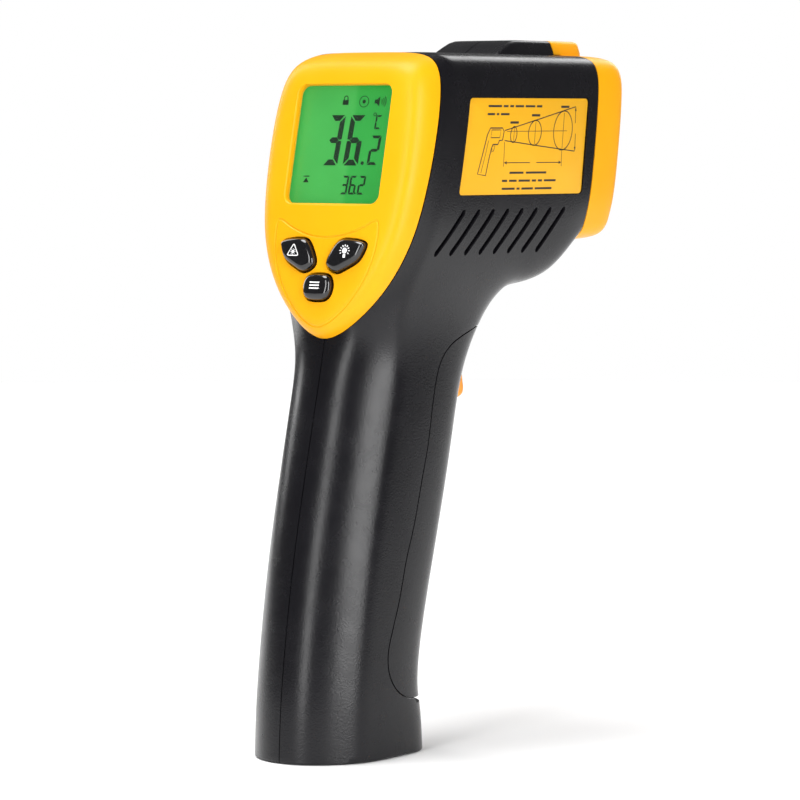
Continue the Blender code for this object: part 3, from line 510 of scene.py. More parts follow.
def clear_pane():
    """Clear acrylic window: almost all light passes, with a faint surface gloss."""
    made, tree, shader = nodes_of("clear_acrylic_pane")
    haze = noise(tree, 300.0, 2.0)
    tree.links.new(spread(tree, haze.outputs["Fac"], 0.03, 0.06), shader.inputs["Roughness"])
    shader.inputs["Base Color"].default_value = (0.10, 0.20, 0.12, 1.0)
    shader.inputs["Alpha"].default_value = 0.03
    return made


LCD_LIT = lit_lcd()
PANE = clear_pane()


def dress(node, mat):
    """A better finish on a CAD node that stays in view."""
    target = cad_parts[node]
    target.data.materials.clear()
    target.data.materials.append(mat)


# ---------------------------------------------------------------- moulded shells
def seat_depth(z):
    """Y of the plane where the bezel meets the housing."""
    return SEAT_POINT[0] + (z - SEAT_POINT[1]) * SEAT_SLOPE


def nose_depth(z):
    """Y of the plane where the nose cap meets the housing."""
    return NOSE_POINT[0] + (z - NOSE_POINT[1]) * NOSE_SLOPE


def grip_row(z):
    """Eight cage points round the right half of the grip, back seam to front."""
    heel = along(BACK_LINE, z) + BACK_DEPTH
    toe = along(FRONT_LINE, z) - FRONT_DEPTH
    row = []
    for turn in (0, 30, 60, 90):
        a = math.radians(turn)
        grow = 1.0 if turn == 90 else ROUND
        row.append((GRIP_HALF * math.sin(a) * grow, heel - BACK_DEPTH * math.cos(a) * ROUND, z))
    for turn in (90, 60, 30, 0):
        a = math.radians(turn)
        grow = 1.0 if turn == 90 else ROUND
        row.append((GRIP_HALF * math.sin(a) * grow, toe + FRONT_DEPTH * math.cos(a) * ROUND, z))
    row[2] = (row[2][0] + 0.25, row[2][1] + 1.4, z)
    return row


def head_column(lowest, ys, top_y):
    """Cage points up the side of the head and over its top."""
    points = []
    for k in range(lowest, len(HEAD_ROWS)):
        points.append((HEAD_HALF[k], ys[k - lowest], HEAD_ROWS[k]))
    for x, z in HEAD_TOP:
        points.append((x, top_y, z))
    return points


def belly_column(y, z, side_low, side_ys, top_y, half):
    """A whole section of the head in front of the grip, from belly to top."""
    points = [(0.0, y, z - 0.1), (9.0, y, z - 0.1), (half, y, z)]
    points.append((19.5, side_ys[0], side_low))
    for k in range(3, 6):
        points.append((HEAD_HALF[k], side_ys[k - 2], HEAD_ROWS[k]))
    for x, top_z in HEAD_TOP:
        points.append((x, top_y, top_z))
    return points


def housing_cage():
    """Cage of the right half's outer surface: points, faces and edge creases."""
    points = []
    faces = []
    creases = {}

    def add(p):
        points.append(p)
        return len(points) - 1

    def crease(a, b, weight):
        creases[frozenset((a, b))] = weight

    grip = [[add(p) for p in grip_row(z)] for z in GRIP_ROWS]
    seat = [add((x, seat_depth(z), z)) for x, z in SEAT]
    body = [add(p) for p in BODY_LINE]
    upper = grip_row(HEAD_ROWS[0])
    ring_a = [None, None, body[0]]
    for k in (3, 4, 5, 6, 7):
        x, y, z = upper[k]
        ring_a.append(add((x * 1.03, y, z)))
    third = [ring_a[3]] + [add(p) for p in head_column(1, (12.2, 14.0, 16.0, 19.0, 21.0), 21.0)]
    fourth = [ring_a[4]] + [add(p) for p in head_column(1, (24.0, 26.0, 28.0, 30.5, 32.0), 32.0)]
    corner = add((16.9, 38.5, 99.3))
    fifth = [ring_a[5], corner] + [add(p) for p in head_column(2, (41.0, 41.6, 42.4, 43.2), 43.4)]
    belly_mid = add((8.6, 41.2, 99.3))
    belly_seam = add((0.0, 41.8, 99.3))

    for r in range(len(grip) - 1):
        for c in range(7):
            faces.append((grip[r][c], grip[r][c + 1], grip[r + 1][c + 1], grip[r + 1][c]))
        crease(grip[r][2], grip[r + 1][2], 0.42)
    top = grip[-1]
    crease(top[2], body[0], 0.42)
    faces.append((top[0], top[1], seat[1], seat[0]))
    faces.append((top[1], top[2], body[0], seat[1]))
    for c in range(2, 7):
        faces.append((top[c], top[c + 1], ring_a[c + 1], ring_a[c]))
    faces.append((ring_a[5], ring_a[6], belly_mid, corner))
    faces.append((ring_a[6], ring_a[7], belly_seam, belly_mid))
    for k in range(1, len(body)):
        faces.append((seat[k], body[k - 1], body[k], seat[k + 1]))
        crease(body[k - 1], body[k], 0.50)
    for k in range(len(third) - 1):
        faces.append((body[k], third[k], third[k + 1], body[k + 1]))
        faces.append((third[k], fourth[k], fourth[k + 1], third[k + 1]))
        faces.append((fourth[k], fifth[k], fifth[k + 1], fourth[k + 1]))
    stations = [
        belly_column(43.6, 99.6, 109.0, (44.4, 45.4, 46.8, 48.0), 48.6, 17.6),
        belly_column(52.6, 100.7, 110.0, (53.2, 54.2, 55.6, 56.8), 57.8, 18.1),
        belly_column(58.6, 105.2, 111.8, (59.2, 60.4, 62.0, 63.6), 64.6, 18.4),
        belly_column(nose_depth(109.0), 109.0, 113.6,
                     [nose_depth(z) for z in (113.6, 118.0, 130.0, 141.0)],
                     nose_depth(149.6), 18.6),
    ]
    previous = [belly_seam, belly_mid] + fifth[1:]
    for station in stations:
        current = [add(p) for p in station]
        for k in range(len(current) - 1):
            faces.append((previous[k], current[k], current[k + 1], previous[k + 1]))
        previous = current
    return points, faces, creases


def grid_cage(rings, rows, bottom, top, crown):
    """Cage of a cup from equal open half rings, closed by a grid in the last one."""
    points = []
    faces = []

    def add(p):
        points.append(p)
        return len(points) - 1

    index = [[add(p) for p in ring] for ring in rings]
    for r in range(len(index) - 1):
        for k in range(len(index[0]) - 1):
            faces.append((index[r][k], index[r][k + 1], index[r + 1][k + 1], index[r + 1][k]))
    last = index[-1]
    grid = [[last[k] for k in bottom]]
    for k in rows:
        x, y, z = points[last[k]]
        mid = add((0.5 * x, y + crown * 0.8, z))
        centre = add((0.0, y + crown, z))
        grid.append([last[k], mid, centre])
    grid.append([last[k] for k in top])
    for r in range(len(grid) - 1):
        low, high = grid[r], grid[r + 1]
        if len(low) == 1:
            faces.append((low[0], high[0], high[1], high[2]))
            continue
        faces.append((low[0], low[1], high[1], high[0]))
        faces.append((low[1], low[2], high[2], high[1]))
    return points, faces, {}


def limit_mesh(cage, creased):
    """The mirrored, subdivided surface of a cage."""
    points, faces, creases = cage
    made = link_mesh("cage", [spot(*p) for p in points], faces, creases if creased else {})
    mirror = made.modifiers.new("mirror", "MIRROR")
    mirror.use_clip = True
    mirror.merge_threshold = 0.00001
    divide = made.modifiers.new("divide", "SUBSURF")
    divide.levels = DETAIL
    divide.render_levels = DETAIL
    bake(made)
    return made


def moulded_shell(name, cage, wall):
    """A closed shell: the creased outer surface and a softer inner one, rim to rim."""
    outer = limit_mesh(cage, True)
    inner = limit_mesh(cage, False)
    skin_work = bmesh.new()
    skin_work.from_mesh(inner.data)
    bmesh.ops.recalc_face_normals(skin_work, faces=skin_work.faces)
    skin_work.verts.ensure_lookup_table()
    skin_work.normal_update()
    count = len(skin_work.verts)
    verts = [v.co.copy() for v in outer.data.vertices]
    middle = sum(verts, Vector()) / count
    facing = sum((1 if f.normal.dot(f.calc_center_median() - middle) > 0 else -1)
                 for f in skin_work.faces)
    push = -wall * 0.001 if facing > 0 else wall * 0.001
    verts += [v.co + v.normal * push for v in skin_work.verts]
    faces = [tuple(p.vertices) for p in outer.data.polygons]
    faces += [tuple(count + i for i in reversed(p.vertices)) for p in outer.data.polygons]
    for edge in skin_work.edges:
        if len(edge.link_faces) == 1:
            a, b = (v.index for v in edge.verts)
            faces.append((a, b, count + b, count + a))
    skin_work.free()
    bpy.data.objects.remove(outer, do_unlink=True)
    bpy.data.objects.remove(inner, do_unlink=True)
    return link_mesh(name, verts, faces)


def surface_tree(cage):
    """A tree for finding points on a cage's outer surface."""
    made = limit_mesh(cage, True)
    tree = BVHTree.FromPolygons([v.co.copy() for v in made.data.vertices],
                                [tuple(p.vertices) for p in made.data.polygons])
    bpy.data.objects.remove(made, do_unlink=True)
    return tree


def cut_along(name, stations, section, closed):
    """A cutting bar along a surface: stations are (point, outward, sideways, width factor)."""
    rings = []
    for point, out, side, scale in stations:
        rings.append([point + (side * (across * scale) + out * height) * 0.001
                      for across, height in section])
    return skin(name, rings, loop=closed)


HOUSING_CAGE = housing_cage()
HOUSING_TREE = surface_tree(HOUSING_CAGE)


def offset_line(line, distance):
    """An open line moved to its right by a distance."""
    moved = []
    for k, (y, z) in enumerate(line):
        before = line[max(k - 1, 0)]
        after = line[min(k + 1, len(line) - 1)]
        run = Vector((after[0] - before[0], after[1] - before[1])).normalized()
        moved.append((y + run.y * distance, z - run.x * distance))
    return moved


def smooth_line(points, steps):
    """A smooth open curve through a line's points."""
    dense = []
    count = len(points)
    for k in range(count - 1):
        dense += arc_between([Vector(points[min(max(k + s, 0), count - 1)])
                              for s in (-1, 0, 1, 2)], steps)
    dense.append(tuple(points[-1]))
    return dense


SMOOTH_DOOR_LINE = smooth_line(DOOR_LINE, 4)


def door_outline(distance, foot):
    """Side view of the battery door, cut off at its foot."""
    edge = offset_line(SMOOTH_DOOR_LINE, distance)
    return edge[:-1] + [(edge[-1][0], foot), (FAR_FRONT, foot), (FAR_FRONT, edge[0][1])]


def foot_outline(inset):
    """Section of the grip at the foot, drawn in by a distance."""
    heel = along(BACK_LINE, FOOT_Z) + BACK_DEPTH
    toe = along(FRONT_LINE, FOOT_Z) - FRONT_DEPTH
    outline = []
    for k in range(FOOT_POINTS):
        a = 2 * math.pi * (k + 0.5) / FOOT_POINTS
        reach = FRONT_DEPTH - inset if math.cos(a) > 0 else BACK_DEPTH - inset
        middle = toe if math.cos(a) > 0 else heel
        outline.append(((GRIP_HALF - inset) * math.sin(a), middle + reach * math.cos(a)))
    return outline


def foot_plate():
    outline = foot_outline(0.9)
    return skin("foot", [[spot(x, y, z) for x, y in outline] for z in (FOOT_Z - 2, FOOT_Z + WALL)])


def foot_edge_cut():
    """A ring that rounds the edge of the foot."""
    section = [(1.1, -1.0), (1.1, -0.01)]
    for k in range(7):
        a = math.radians(90 * k / 6)
        section.append((1.1 - 1.1 * math.sin(a), 1.1 - 1.1 * math.cos(a)))
    section += [(-0.15, 1.5), (-3.0, 1.5), (-3.0, -1.0)]
    rings = []
    for inset, rise in section:
        rings.append([spot(x, y, FOOT_Z + rise) for x, y in foot_outline(inset)])
    return skin("foot_edge", rings, loop=True)


def ridge_section(y, top, half_top, base, lean):
    """Rounded section of the raised ridge over the laser tube."""
    radius = min(1.3, max(top - 149.3, 0.25))
    outline = [(half_top + 2.2, base)]
    outline.append((half_top + 1.5, max(top - 2.3, 149.0)))
    for k in range(6):
        a = math.radians(18 + 72 * k / 5)
        outline.append((half_top + 1.0 - radius + radius * math.cos(a),
                        top - radius + radius * math.sin(a)))
    outline += [(-x, z) for x, z in reversed(outline)]
    return [spot(x, y + (z - 149.0) * lean, z) for x, z in outline]


def ridge_rear():
    rings = [ridge_section(y, top, half, 148.6, 0.0)
             for y, top, half in ((43.2, 149.45, 8.1), (45.5, 150.35, 8.0), (48.0, 151.6, 7.9),
                                  (50.2, 152.5, 7.8), (52.0, 152.9, 7.7), (54.0, 153.0, 7.7),
                                  (66.0, 153.0, 7.6))]
    return skin("ridge_rear", rings)


def ridge_tip():
    rings = [ridge_section(y, top, half, 146.9, lean)
             for y, top, half, lean in ((66.3, 153.05, 7.6, 0.0), (76.0, 153.05, 7.4, NOSE_SLOPE),
                                        (77.2, 152.9, 7.2, NOSE_SLOPE),
                                        (78.0, 152.5, 6.8, NOSE_SLOPE),
                                        (78.4, 152.0, 6.3, NOSE_SLOPE))]
    return skin("ridge_tip", rings)


def laser_bore():
    return turned("laser_bore", (0, 48, LASER_AXIS_Z), (0, 1, 0),
                  [(0, 3.3), (24.5, 3.3), (24.5, 2.2), (32.2, 2.2), (33.0, 3.0), (40, 3.4)])


GROOVE_SECTION = [(-0.40, -1.5), (-0.40, -0.30), (-0.66, 0.06), (-1.0, 0.8),
                  (1.0, 0.8), (0.66, 0.06), (0.40, -0.30), (0.40, -1.5)]


def groove_bars(side):
    """Eight slanted grip grooves that follow the side of the head."""
    bars = []
    for k in range(8):
        foot = Vector((0, 6.5 + 5.36 * k + 0.65, 107.0))
        top = Vector((0, 15.7 + 5.43 * k + 0.65, 116.4))
        run = (top - foot).normalized()
        stations = []
        for share, scale in ((0.0, 0.45), (0.02, 0.78), (0.05, 1.0), (0.2, 1.0), (0.35, 1.0),
                             (0.5, 1.0), (0.65, 1.0), (0.8, 1.0), (0.95, 1.0), (0.98, 0.78),
                             (1.0, 0.45)):
            p = foot + (top - foot) * share
            start = spot(side * 40, p.y, p.z)
            hit = HOUSING_TREE.ray_cast(start, Vector((-side, 0, 0)))[0]
            out = Vector((side, 0, 0))
            stations.append((hit, out, run.cross(out).normalized(), scale))
        bars.append(cut_along(f"groove_{k}", stations, GROOVE_SECTION, False))
    return bars


def label_outline(grow):
    return rounded_polygon(grown(LABEL_CORNERS, grow), 1.2)


def wall_at(z):
    """Inner side of the wall at a screw's height, where its boss ends."""
    if z < 90:
        return 14.0 if z > 20 else 12.6
    return float(np.interp(z, HEAD_ROWS, HEAD_HALF)) - 1.2


def housing_half(side, name):
    """One moulded half with its bosses, lugs and openings."""
    half = moulded_shell(name, HOUSING_CAGE, WALL)
    carve(half, [ridge_rear(), foot_plate()], "UNION")
    reach = (SEAM, 40.0) if side > 0 else (-40.0, -SEAM)
    carve(half, [slab("room", (reach[0], -40, FOOT_Z), (reach[1], 120, 170))], "INTERSECT")
    rim_front = prism("rim_front", [(seat_depth(91) - 0.06, 91), (seat_depth(160) - 0.06, 160),
                                    (-60, 160), (-60, 91)])
    cuts = [rim_front, prism("door_cut", door_outline(GAP, 12.5)),
            prism("slot", TRIGGER_SLOT, -SLOT_HALF, SLOT_HALF), foot_edge_cut()]
    carve(half, cuts, "DIFFERENCE")
    pin_y, pin_z = TRIGGER_PIVOT
    adds = [turned("post", (side * 7.4, pin_y, pin_z), (side, 0, 0), [(0, 2.4), (9.4, 2.4)]),
            prism("lug", LUG_OUTLINE, side * KNUCKLE_SIDE, side * 5.8)]
    cuts = [turned("post_seat", (side * 6.9, pin_y, pin_z), (side, 0, 0), [(0, 1.15), (3.2, 1.15)]),
            turned("lug_hole", (side * 3.0, *DOOR_PIVOT), (side, 0, 0), [(0, 0.95), (2.6, 0.95)]),
            slab("relief", (-KNUCKLE_SIDE, 8.0, 11.7), (KNUCKLE_SIDE, 14.45, 13.2)),
            prism("recess", label_outline(0.25), side * 20.0, side * 26.0), laser_bore()]
    for k, (y, z) in enumerate(SCREW_SPOTS):
        wall = wall_at(z)
        width = 2.9 if side > 0 else 4.1
        adds.append(turned(f"boss_{k}", (side * SEAM, y, z), (side, 0, 0),
                           [(0, width), (wall - SEAM, width)]))
        if side > 0:
            cuts.append(turned(f"bore_{k}", (0, y, z), (1, 0, 0), [(-2, 1.35), (8, 1.35)]))
        else:
            cuts.append(turned(f"bore_{k}", (2, y, z), (-1, 0, 0),
                               [(0, 1.6), (7.9, 1.6), (8.0, 3.0), (30, 3.0)]))
    carve(half, adds, "UNION")
    carve(half, cuts + groove_bars(side), "DIFFERENCE")
    return half


right_housing = housing_half(1, "right_shell")
piece(right_housing, "handset", "housing_black", BLACK, "right_housing")
left_housing = housing_half(-1, "left_shell")
piece(left_housing, "handset", "housing_black", BLACK, "left_housing")


# ---------------------------------------------------------------- battery door
door = moulded_shell("door_shell", HOUSING_CAGE, WALL)
carve(door, [prism("door_keep", door_outline(0.0, 13.8))], "INTERSECT")
carve(door, [prism("slot", TRIGGER_SLOT, -SLOT_HALF, SLOT_HALF)], "DIFFERENCE")
carve(door, [turned("knuckle", (-2.9, *DOOR_PIVOT), (1, 0, 0), [(0, 1.5), (5.8, 1.5)])], "UNION")
carve(door, [slab(f"notch_{side}", (min(side * 3.0, side * 6.1), 9.0, 12.0),
                   (max(side * 3.0, side * 6.1), 16.0, 16.7)) for side in (1, -1)]
      + [turned("knuckle_hole", (-5, *DOOR_PIVOT), (1, 0, 0), [(0, 1.0), (10, 1.0)])],
      "DIFFERENCE")
piece(door, "door", "housing_black", BLACK, "battery_door")


def shrunk_shell(name, depth, wall):
    """A shell of the outer surface, moved inwards."""
    made = limit_mesh(HOUSING_CAGE, False)
    made.name = name
    work = bmesh.new()
    work.from_mesh(made.data)
    bmesh.ops.recalc_face_normals(work, faces=work.faces)
    work.normal_update()
    rim = Vector((0.0, along(BACK_LINE, 50) - Y_CENTRE, 50.0 - FOOT_Z)) * 0.001
    nearest = min(work.verts, key=lambda v: (v.co - rim).length)
    inwards = -1.0 if nearest.normal.y < 0 else 1.0
    moves = [v.normal * inwards * depth * 0.001 for v in work.verts]
    for v, move in zip(work.verts, moves):
        v.co += move
    work.to_mesh(made.data)
    work.free()
    thick = made.modifiers.new("thick", "SOLIDIFY")
    thick.thickness = wall * 0.001
    thick.offset = 0.0
    bake(made)
    return made


# The lip behind the door's side edges, which laps under the housing's wall.
lip_line = [p for p in SMOOTH_DOOR_LINE if 26.0 < p[1] < 83.0]
lip = shrunk_shell("door_lip", 2.35, 0.7)
carve(lip, [prism("lip_band", offset_line(lip_line, 1.2) + offset_line(lip_line, -1.6)[::-1])],
      "INTERSECT")
piece(lip, "door", "housing_black", BLACK)


# ---------------------------------------------------------------- display bezel
def outline_ring(share, inset):
    """Half outline of the bezel between its seat and its face."""
    ring = []
    for x, z in SEAT:
        wide = x * (1 - inset / 21.0)
        high = 121.0 + (z - 121.0) * (1 - inset / 30.0)
        rear = seat_depth(high) - SEAT_GAP
        front = FACE_ORIGIN[1] + (high - FACE_ORIGIN[2]) * math.tan(FACE_TILT)
        ring.append((wide, rear + (front - rear) * share, high))
    return ring


BEZEL_CAGE = grid_cage([outline_ring(0.0, 0.0), outline_ring(0.40, 0.6), outline_ring(0.88, 2.3),
                        outline_ring(1.0, 5.8)], range(1, 7), [0], [7, 8, 9], -0.25)
BEZEL_TREE = surface_tree(BEZEL_CAGE)
OUT = (FACE.to_3x3() @ Vector((0, 0, 1))).normalized()
bezel = moulded_shell("bezel_shell", BEZEL_CAGE, COVER_WALL)
WINDOW = rounded_box(-WINDOW_HALF, WINDOW_HALF, face_height(WINDOW_LOW),
                     face_height(WINDOW_HIGH), 2.0)


def flared_hole(name, outline, flare):
    """A cutter with a rounded lip where it meets the face."""
    levels = [(-6.0, flare * 1.3), (-0.32, flare * 1.3), (-0.18, flare * 0.92),
              (0.02, flare * 0.42), (0.22, flare * 0.12), (0.45, 0.0), (9.0, 0.0)]
    return skin(name, [[on_face(x, h, depth) for x, h in offset_loop(outline, amount)]
                       for depth, amount in levels])


def key_curve(shape, amount):
    flat = [(x, face_height(z)) for x, z in shape]
    return offset_loop(smooth_loop(flat, CURVE_STEPS), amount)


def pad_groove():
    """Fine line moulded round the three keys, following the face."""
    corners = [(0.0, 110.9), (5.0, 111.5), (9.0, 112.9), (12.2, 114.5), (13.2, 113.8),
               (13.3, 110.5), (12.6, 106.4), (10.8, 102.0), (7.6, 97.4), (3.6, 93.8), (0.0, 92.5)]
    line = corners + [(-x, z) for x, z in corners[-2:0:-1]]
    dense = smooth_loop([(x, face_height(z)) for x, z in line], CURVE_STEPS)
    hits = [BEZEL_TREE.ray_cast(on_face(x, h, -20.0), -OUT)[0] for x, h in dense]
    stations = []
    for k, hit in enumerate(hits):
        run = (hits[(k + 1) % len(hits)] - hits[k - 1]).normalized()
        stations.append((hit, OUT, run.cross(OUT).normalized(), 1.0))
    section = [(-0.10, -0.16), (-0.34, 0.06), (-0.6, 0.5), (0.6, 0.5), (0.34, 0.06),
               (0.10, -0.16)]
    return cut_along("pad_line", stations, section, True)


rim_rear = prism("rim_rear", [(seat_depth(80) - SEAT_GAP + 0.06, 80), (60, 80), (60, 160),
                              (seat_depth(160) - SEAT_GAP + 0.06, 160)])
carve(bezel, [rim_rear, flared_hole("window_hole", WINDOW, 0.55)]
      + [flared_hole(f"{name}_hole", key_curve(shape, 0.25), 0.18)
         for name, shape in KEY_SHAPES.items()] + [pad_groove()], "DIFFERENCE")
piece(bezel, "handset", "cover_yellow", YELLOW, "display_bezel")


# ---------------------------------------------------------------- printed marks
def strip(points, width, closed=False):
    """A line of constant width as a left side and a right side."""
    left = []
    right = []
    count = len(points)
    for k in range(count):
        before = Vector(points[k - 1] if closed or k else points[0])
        after = Vector(points[(k + 1) % count] if closed or k < count - 1 else points[k])
        run = (after - before).normalized()
        here = Vector(points[k])
        normal = Vector((-run.y, run.x)) * width / 2
        left.append(tuple(here + normal))
        right.append(tuple(here - normal))
    return left, right, closed


def print_marks(name, polygons, strips, place, low, high):
    """Thin raised print: polygons and strips placed by a function of (u, v, height)."""
    verts = []
    faces = []
    for outline in polygons:
        base = len(verts)
        count = len(outline)
        verts += [place(u, v, low) for u, v in outline] + [place(u, v, high) for u, v in outline]
        faces.append(tuple(base + k for k in range(count)))
        faces.append(tuple(base + count + k for k in range(count)))
        for k in range(count):
            n = (k + 1) % count
            faces.append((base + k, base + n, base + count + n, base + count + k))
    for left, right, closed in strips:
        count = len(left)
        base = len(verts)
        for a, b in zip(left, right):
            verts += [place(*a, low), place(*b, low), place(*b, high), place(*a, high)]
        last = count if closed else count - 1
        for k in range(last):
            i = base + 4 * k
            j = base + 4 * ((k + 1) % count)
            for s in range(4):
                t = (s + 1) % 4
                faces.append((i + s, i + t, j + t, j + s))
        if not closed:
            faces.append(tuple(base + s for s in range(4)))
            faces.append(tuple(base + 4 * (count - 1) + s for s in range(4)))
    return link_mesh(name, verts, faces)


def ellipse(cx, cy, rx, ry, steps=40, begin=0, end=360):
    full = end - begin >= 360
    count = steps if full else steps + 1
    return [(cx + rx * math.cos(math.radians(begin + (end - begin) * k / steps)),
             cy + ry * math.sin(math.radians(begin + (end - begin) * k / steps)))
            for k in range(count)]


SEGMENTS = {"2": "abged", "3": "abgcd", "6": "afgecd", "C": "afed"}


def seven_segment(sign, x, y, wide, high, stroke):
    """Segments of one display sign, its lower left corner at x, y."""
    half = stroke / 2
    gap = stroke * 0.07
    mid = high / 2
    made = []

    def level(y0, sense):
        ends = half + gap
        if sense == 0:
            return [(ends, y0), (ends + half, y0 + half), (wide - ends - half, y0 + half),
                    (wide - ends, y0), (wide - ends - half, y0 - half), (ends + half, y0 - half)]
        inner = stroke + gap
        return [(gap + half * 0.3, y0 + half * sense), (wide - gap - half * 0.3, y0 + half * sense),
                (wide - inner, y0 - half * sense), (inner, y0 - half * sense)]

    def upright(x0, y0, y1, sense):
        trim = gap + half * 0.3
        low = y0 + trim if y0 < 1e-6 else y0 + gap
        top = y1 - trim if y1 > high - 1e-6 else y1 - gap
        outer = x0
        inner = x0 + stroke * sense
        if y0 < 1e-6:
            return [(outer, low), (outer, top - half * 0.2), (outer + half * sense, top),
                    (inner, top - half * 0.8), (inner, low + stroke)]
        return [(outer, top), (outer, low + half * 0.2), (outer + half * sense, low),
                (inner, low + half * 0.8), (inner, top - stroke)]

    shapes = {"a": level(high - half, 1), "g": level(mid, 0), "d": level(half, -1),
              "f": upright(0, mid, high, 1), "e": upright(0, 0, mid, 1),
              "b": upright(wide, mid, high, -1), "c": upright(wide, 0, mid, -1)}
    for key in SEGMENTS[sign]:
        made.append([(x + px + py * SIGN_SLANT, y + py) for px, py in shapes[key]])
    return made


LCD_LOW = face_height(WINDOW_LOW)
LCD_TALL = face_height(WINDOW_HIGH) - LCD_LOW


def lcd_at(share_x, share_y):
    """A place on the display from shares of its width and height."""
    return -WINDOW_HALF + 2 * WINDOW_HALF * share_x, LCD_LOW + LCD_TALL * share_y


def lcd_marks():
    """Dark signs of the display: generic digits, unit and function signs."""
    polygons = []
    strips = []
    for sign, share in (("3", 0.285), ("6", 0.505)):
        x, y = lcd_at(share, 0.335)
        polygons += seven_segment(sign, x, y, 3.9, 10.8, 1.25)
    x, y = lcd_at(0.700, 0.338)
    polygons.append(ellipse(x + 0.3, y + 0.45, 0.42, 0.42, 12))
    x, y = lcd_at(0.760, 0.340)
    polygons += seven_segment("2", x, y, 2.6, 6.3, 0.62)
    x, y = lcd_at(0.785, 0.640)
    polygons += seven_segment("C", x + 0.15, y, 1.55, 3.0, 0.38)
    strips.append(strip(ellipse(x - 0.05, y + 3.15, 0.34, 0.34, 16), 0.18, True))
    for sign, share in (("3", 0.515), ("6", 0.600), ("2", 0.695)):
        x, y = lcd_at(share, 0.092)
        polygons += seven_segment(sign, x, y, 1.7, 4.0, 0.44)
    x, y = lcd_at(0.677, 0.094)
    polygons.append(ellipse(x, y + 0.22, 0.2, 0.2, 10))
    x, y = lcd_at(0.648, 0.872)
    strips.append(strip(ellipse(x, y, 1.18, 1.18, 32), 0.15, True))
    polygons.append(ellipse(x, y, 0.42, 0.42, 16))
    x, y = lcd_at(0.762, 0.872)
    polygons.append([(x, y - 0.42), (x + 0.55, y - 0.42), (x + 1.25, y - 1.05),
                     (x + 1.25, y + 1.05), (x + 0.55, y + 0.42), (x, y + 0.42)])
    for reach in (0.75, 1.25, 1.75):
        strips.append(strip(ellipse(x + 1.15, y, reach, reach, 8, -38, 38), 0.17))
    x, y = lcd_at(0.42, 0.845)
    polygons.append([(x, y), (x + 1.5, y), (x + 1.5, y + 1.05), (x, y + 1.05)])
    strips.append(strip([(x + 0.28, y + 1.05), (x + 0.28, y + 1.45)]
                        + ellipse(x + 0.75, y + 1.45, 0.47, 0.47, 10, 0, 180)[::-1]
                        + [(x + 1.22, y + 1.45), (x + 1.22, y + 1.05)], 0.2))
    x, y = lcd_at(0.100, 0.190)
    polygons.append([(x, y), (x + 1.5, y), (x + 0.75, y + 1.05)])
    polygons.append([(x, y + 1.22), (x + 1.5, y + 1.22), (x + 1.5, y + 1.45), (x, y + 1.45)])
    return polygons, strips


polygons, strips = lcd_marks()
signs = print_marks("lcd_signs", polygons, strips, lambda u, v, h: on_face(u, v, 2.5 - h),
                    0.0, 0.05)
piece(signs, "handset", "black_rubber", SEGMENT)
for finish, kept in ((LCD_LIT, ["lcd_panel"]), (PANE, ["display_window"]),
                     (WHITE_GUIDE, ["backlight_panel"]), (RUBBER, ["zebra_strip"]),
                     (BOARD, ["main_board", "sensor_board", "trigger_board"]),
                     (SWITCH, ["switch_laser", "switch_backlight", "switch_mode",
                               "trigger_switch", "piezo_buzzer"]),
                     (ORANGE, ["trigger_plunger"]), (BRASS, ["laser_module"]),
                     (STEEL, ["trigger_pin", "door_pin", "thermopile_sensor"])):
    for node in kept:
        dress(node, finish)


# ---------------------------------------------------------------- keys
KEY_BODIES = {"button_laser": "laser_key", "button_backlight": "backlight_key",
              "button_mode": "mode_key"}
KEY_LEVELS = [(3.3, 0.7), (2.4, 0.7), (2.4, 0.0), (-0.35, -0.02), (-0.75, -0.10), (-1.05, -0.28),
              (-1.28, -0.55), (-1.44, -0.95), (-1.55, -1.45)]


def key_icons(name, cx, cy):
    """Function sign of each key round its middle."""
    polygons = []
    strips = []
    if name == "button_laser":
        tip = [(cx, cy + 1.55), (cx - 1.5, cy - 1.0), (cx + 1.5, cy - 1.0)]
        strips.append(strip(rounded_polygon(tip, 0.45, 3), 0.20, True))
        polygons.append(ellipse(cx, cy - 0.18, 0.34, 0.34, 12))
        for k in range(8):
            a = math.radians(45 * k)
            strips.append(strip([(cx + 0.42 * math.cos(a), cy - 0.18 + 0.42 * math.sin(a)),
                                 (cx + 0.66 * math.cos(a), cy - 0.18 + 0.66 * math.sin(a))], 0.13))
    if name == "button_backlight":
        polygons.append(ellipse(cx, cy + 0.25, 0.62, 0.62, 20, -65, 245))
        polygons.append([(cx - 0.28, cy - 1.25), (cx + 0.28, cy - 1.25), (cx + 0.30, cy - 0.40),
                         (cx - 0.30, cy - 0.40)])
        for k in range(9):
            a = math.radians(-30 + 30 * k)
            strips.append(strip([(cx + 0.88 * math.cos(a), cy + 0.25 + 0.88 * math.sin(a)),
                                 (cx + 1.30 * math.cos(a), cy + 0.25 + 1.30 * math.sin(a))], 0.19))
    if name == "button_mode":
        for k in (-1, 0, 1):
            y = cy + 0.62 * k
            polygons.append([(cx - 1.25, y - 0.15), (cx + 1.25, y - 0.15), (cx + 1.25, y + 0.15),
                             (cx - 1.25, y + 0.15)])
    return polygons, strips


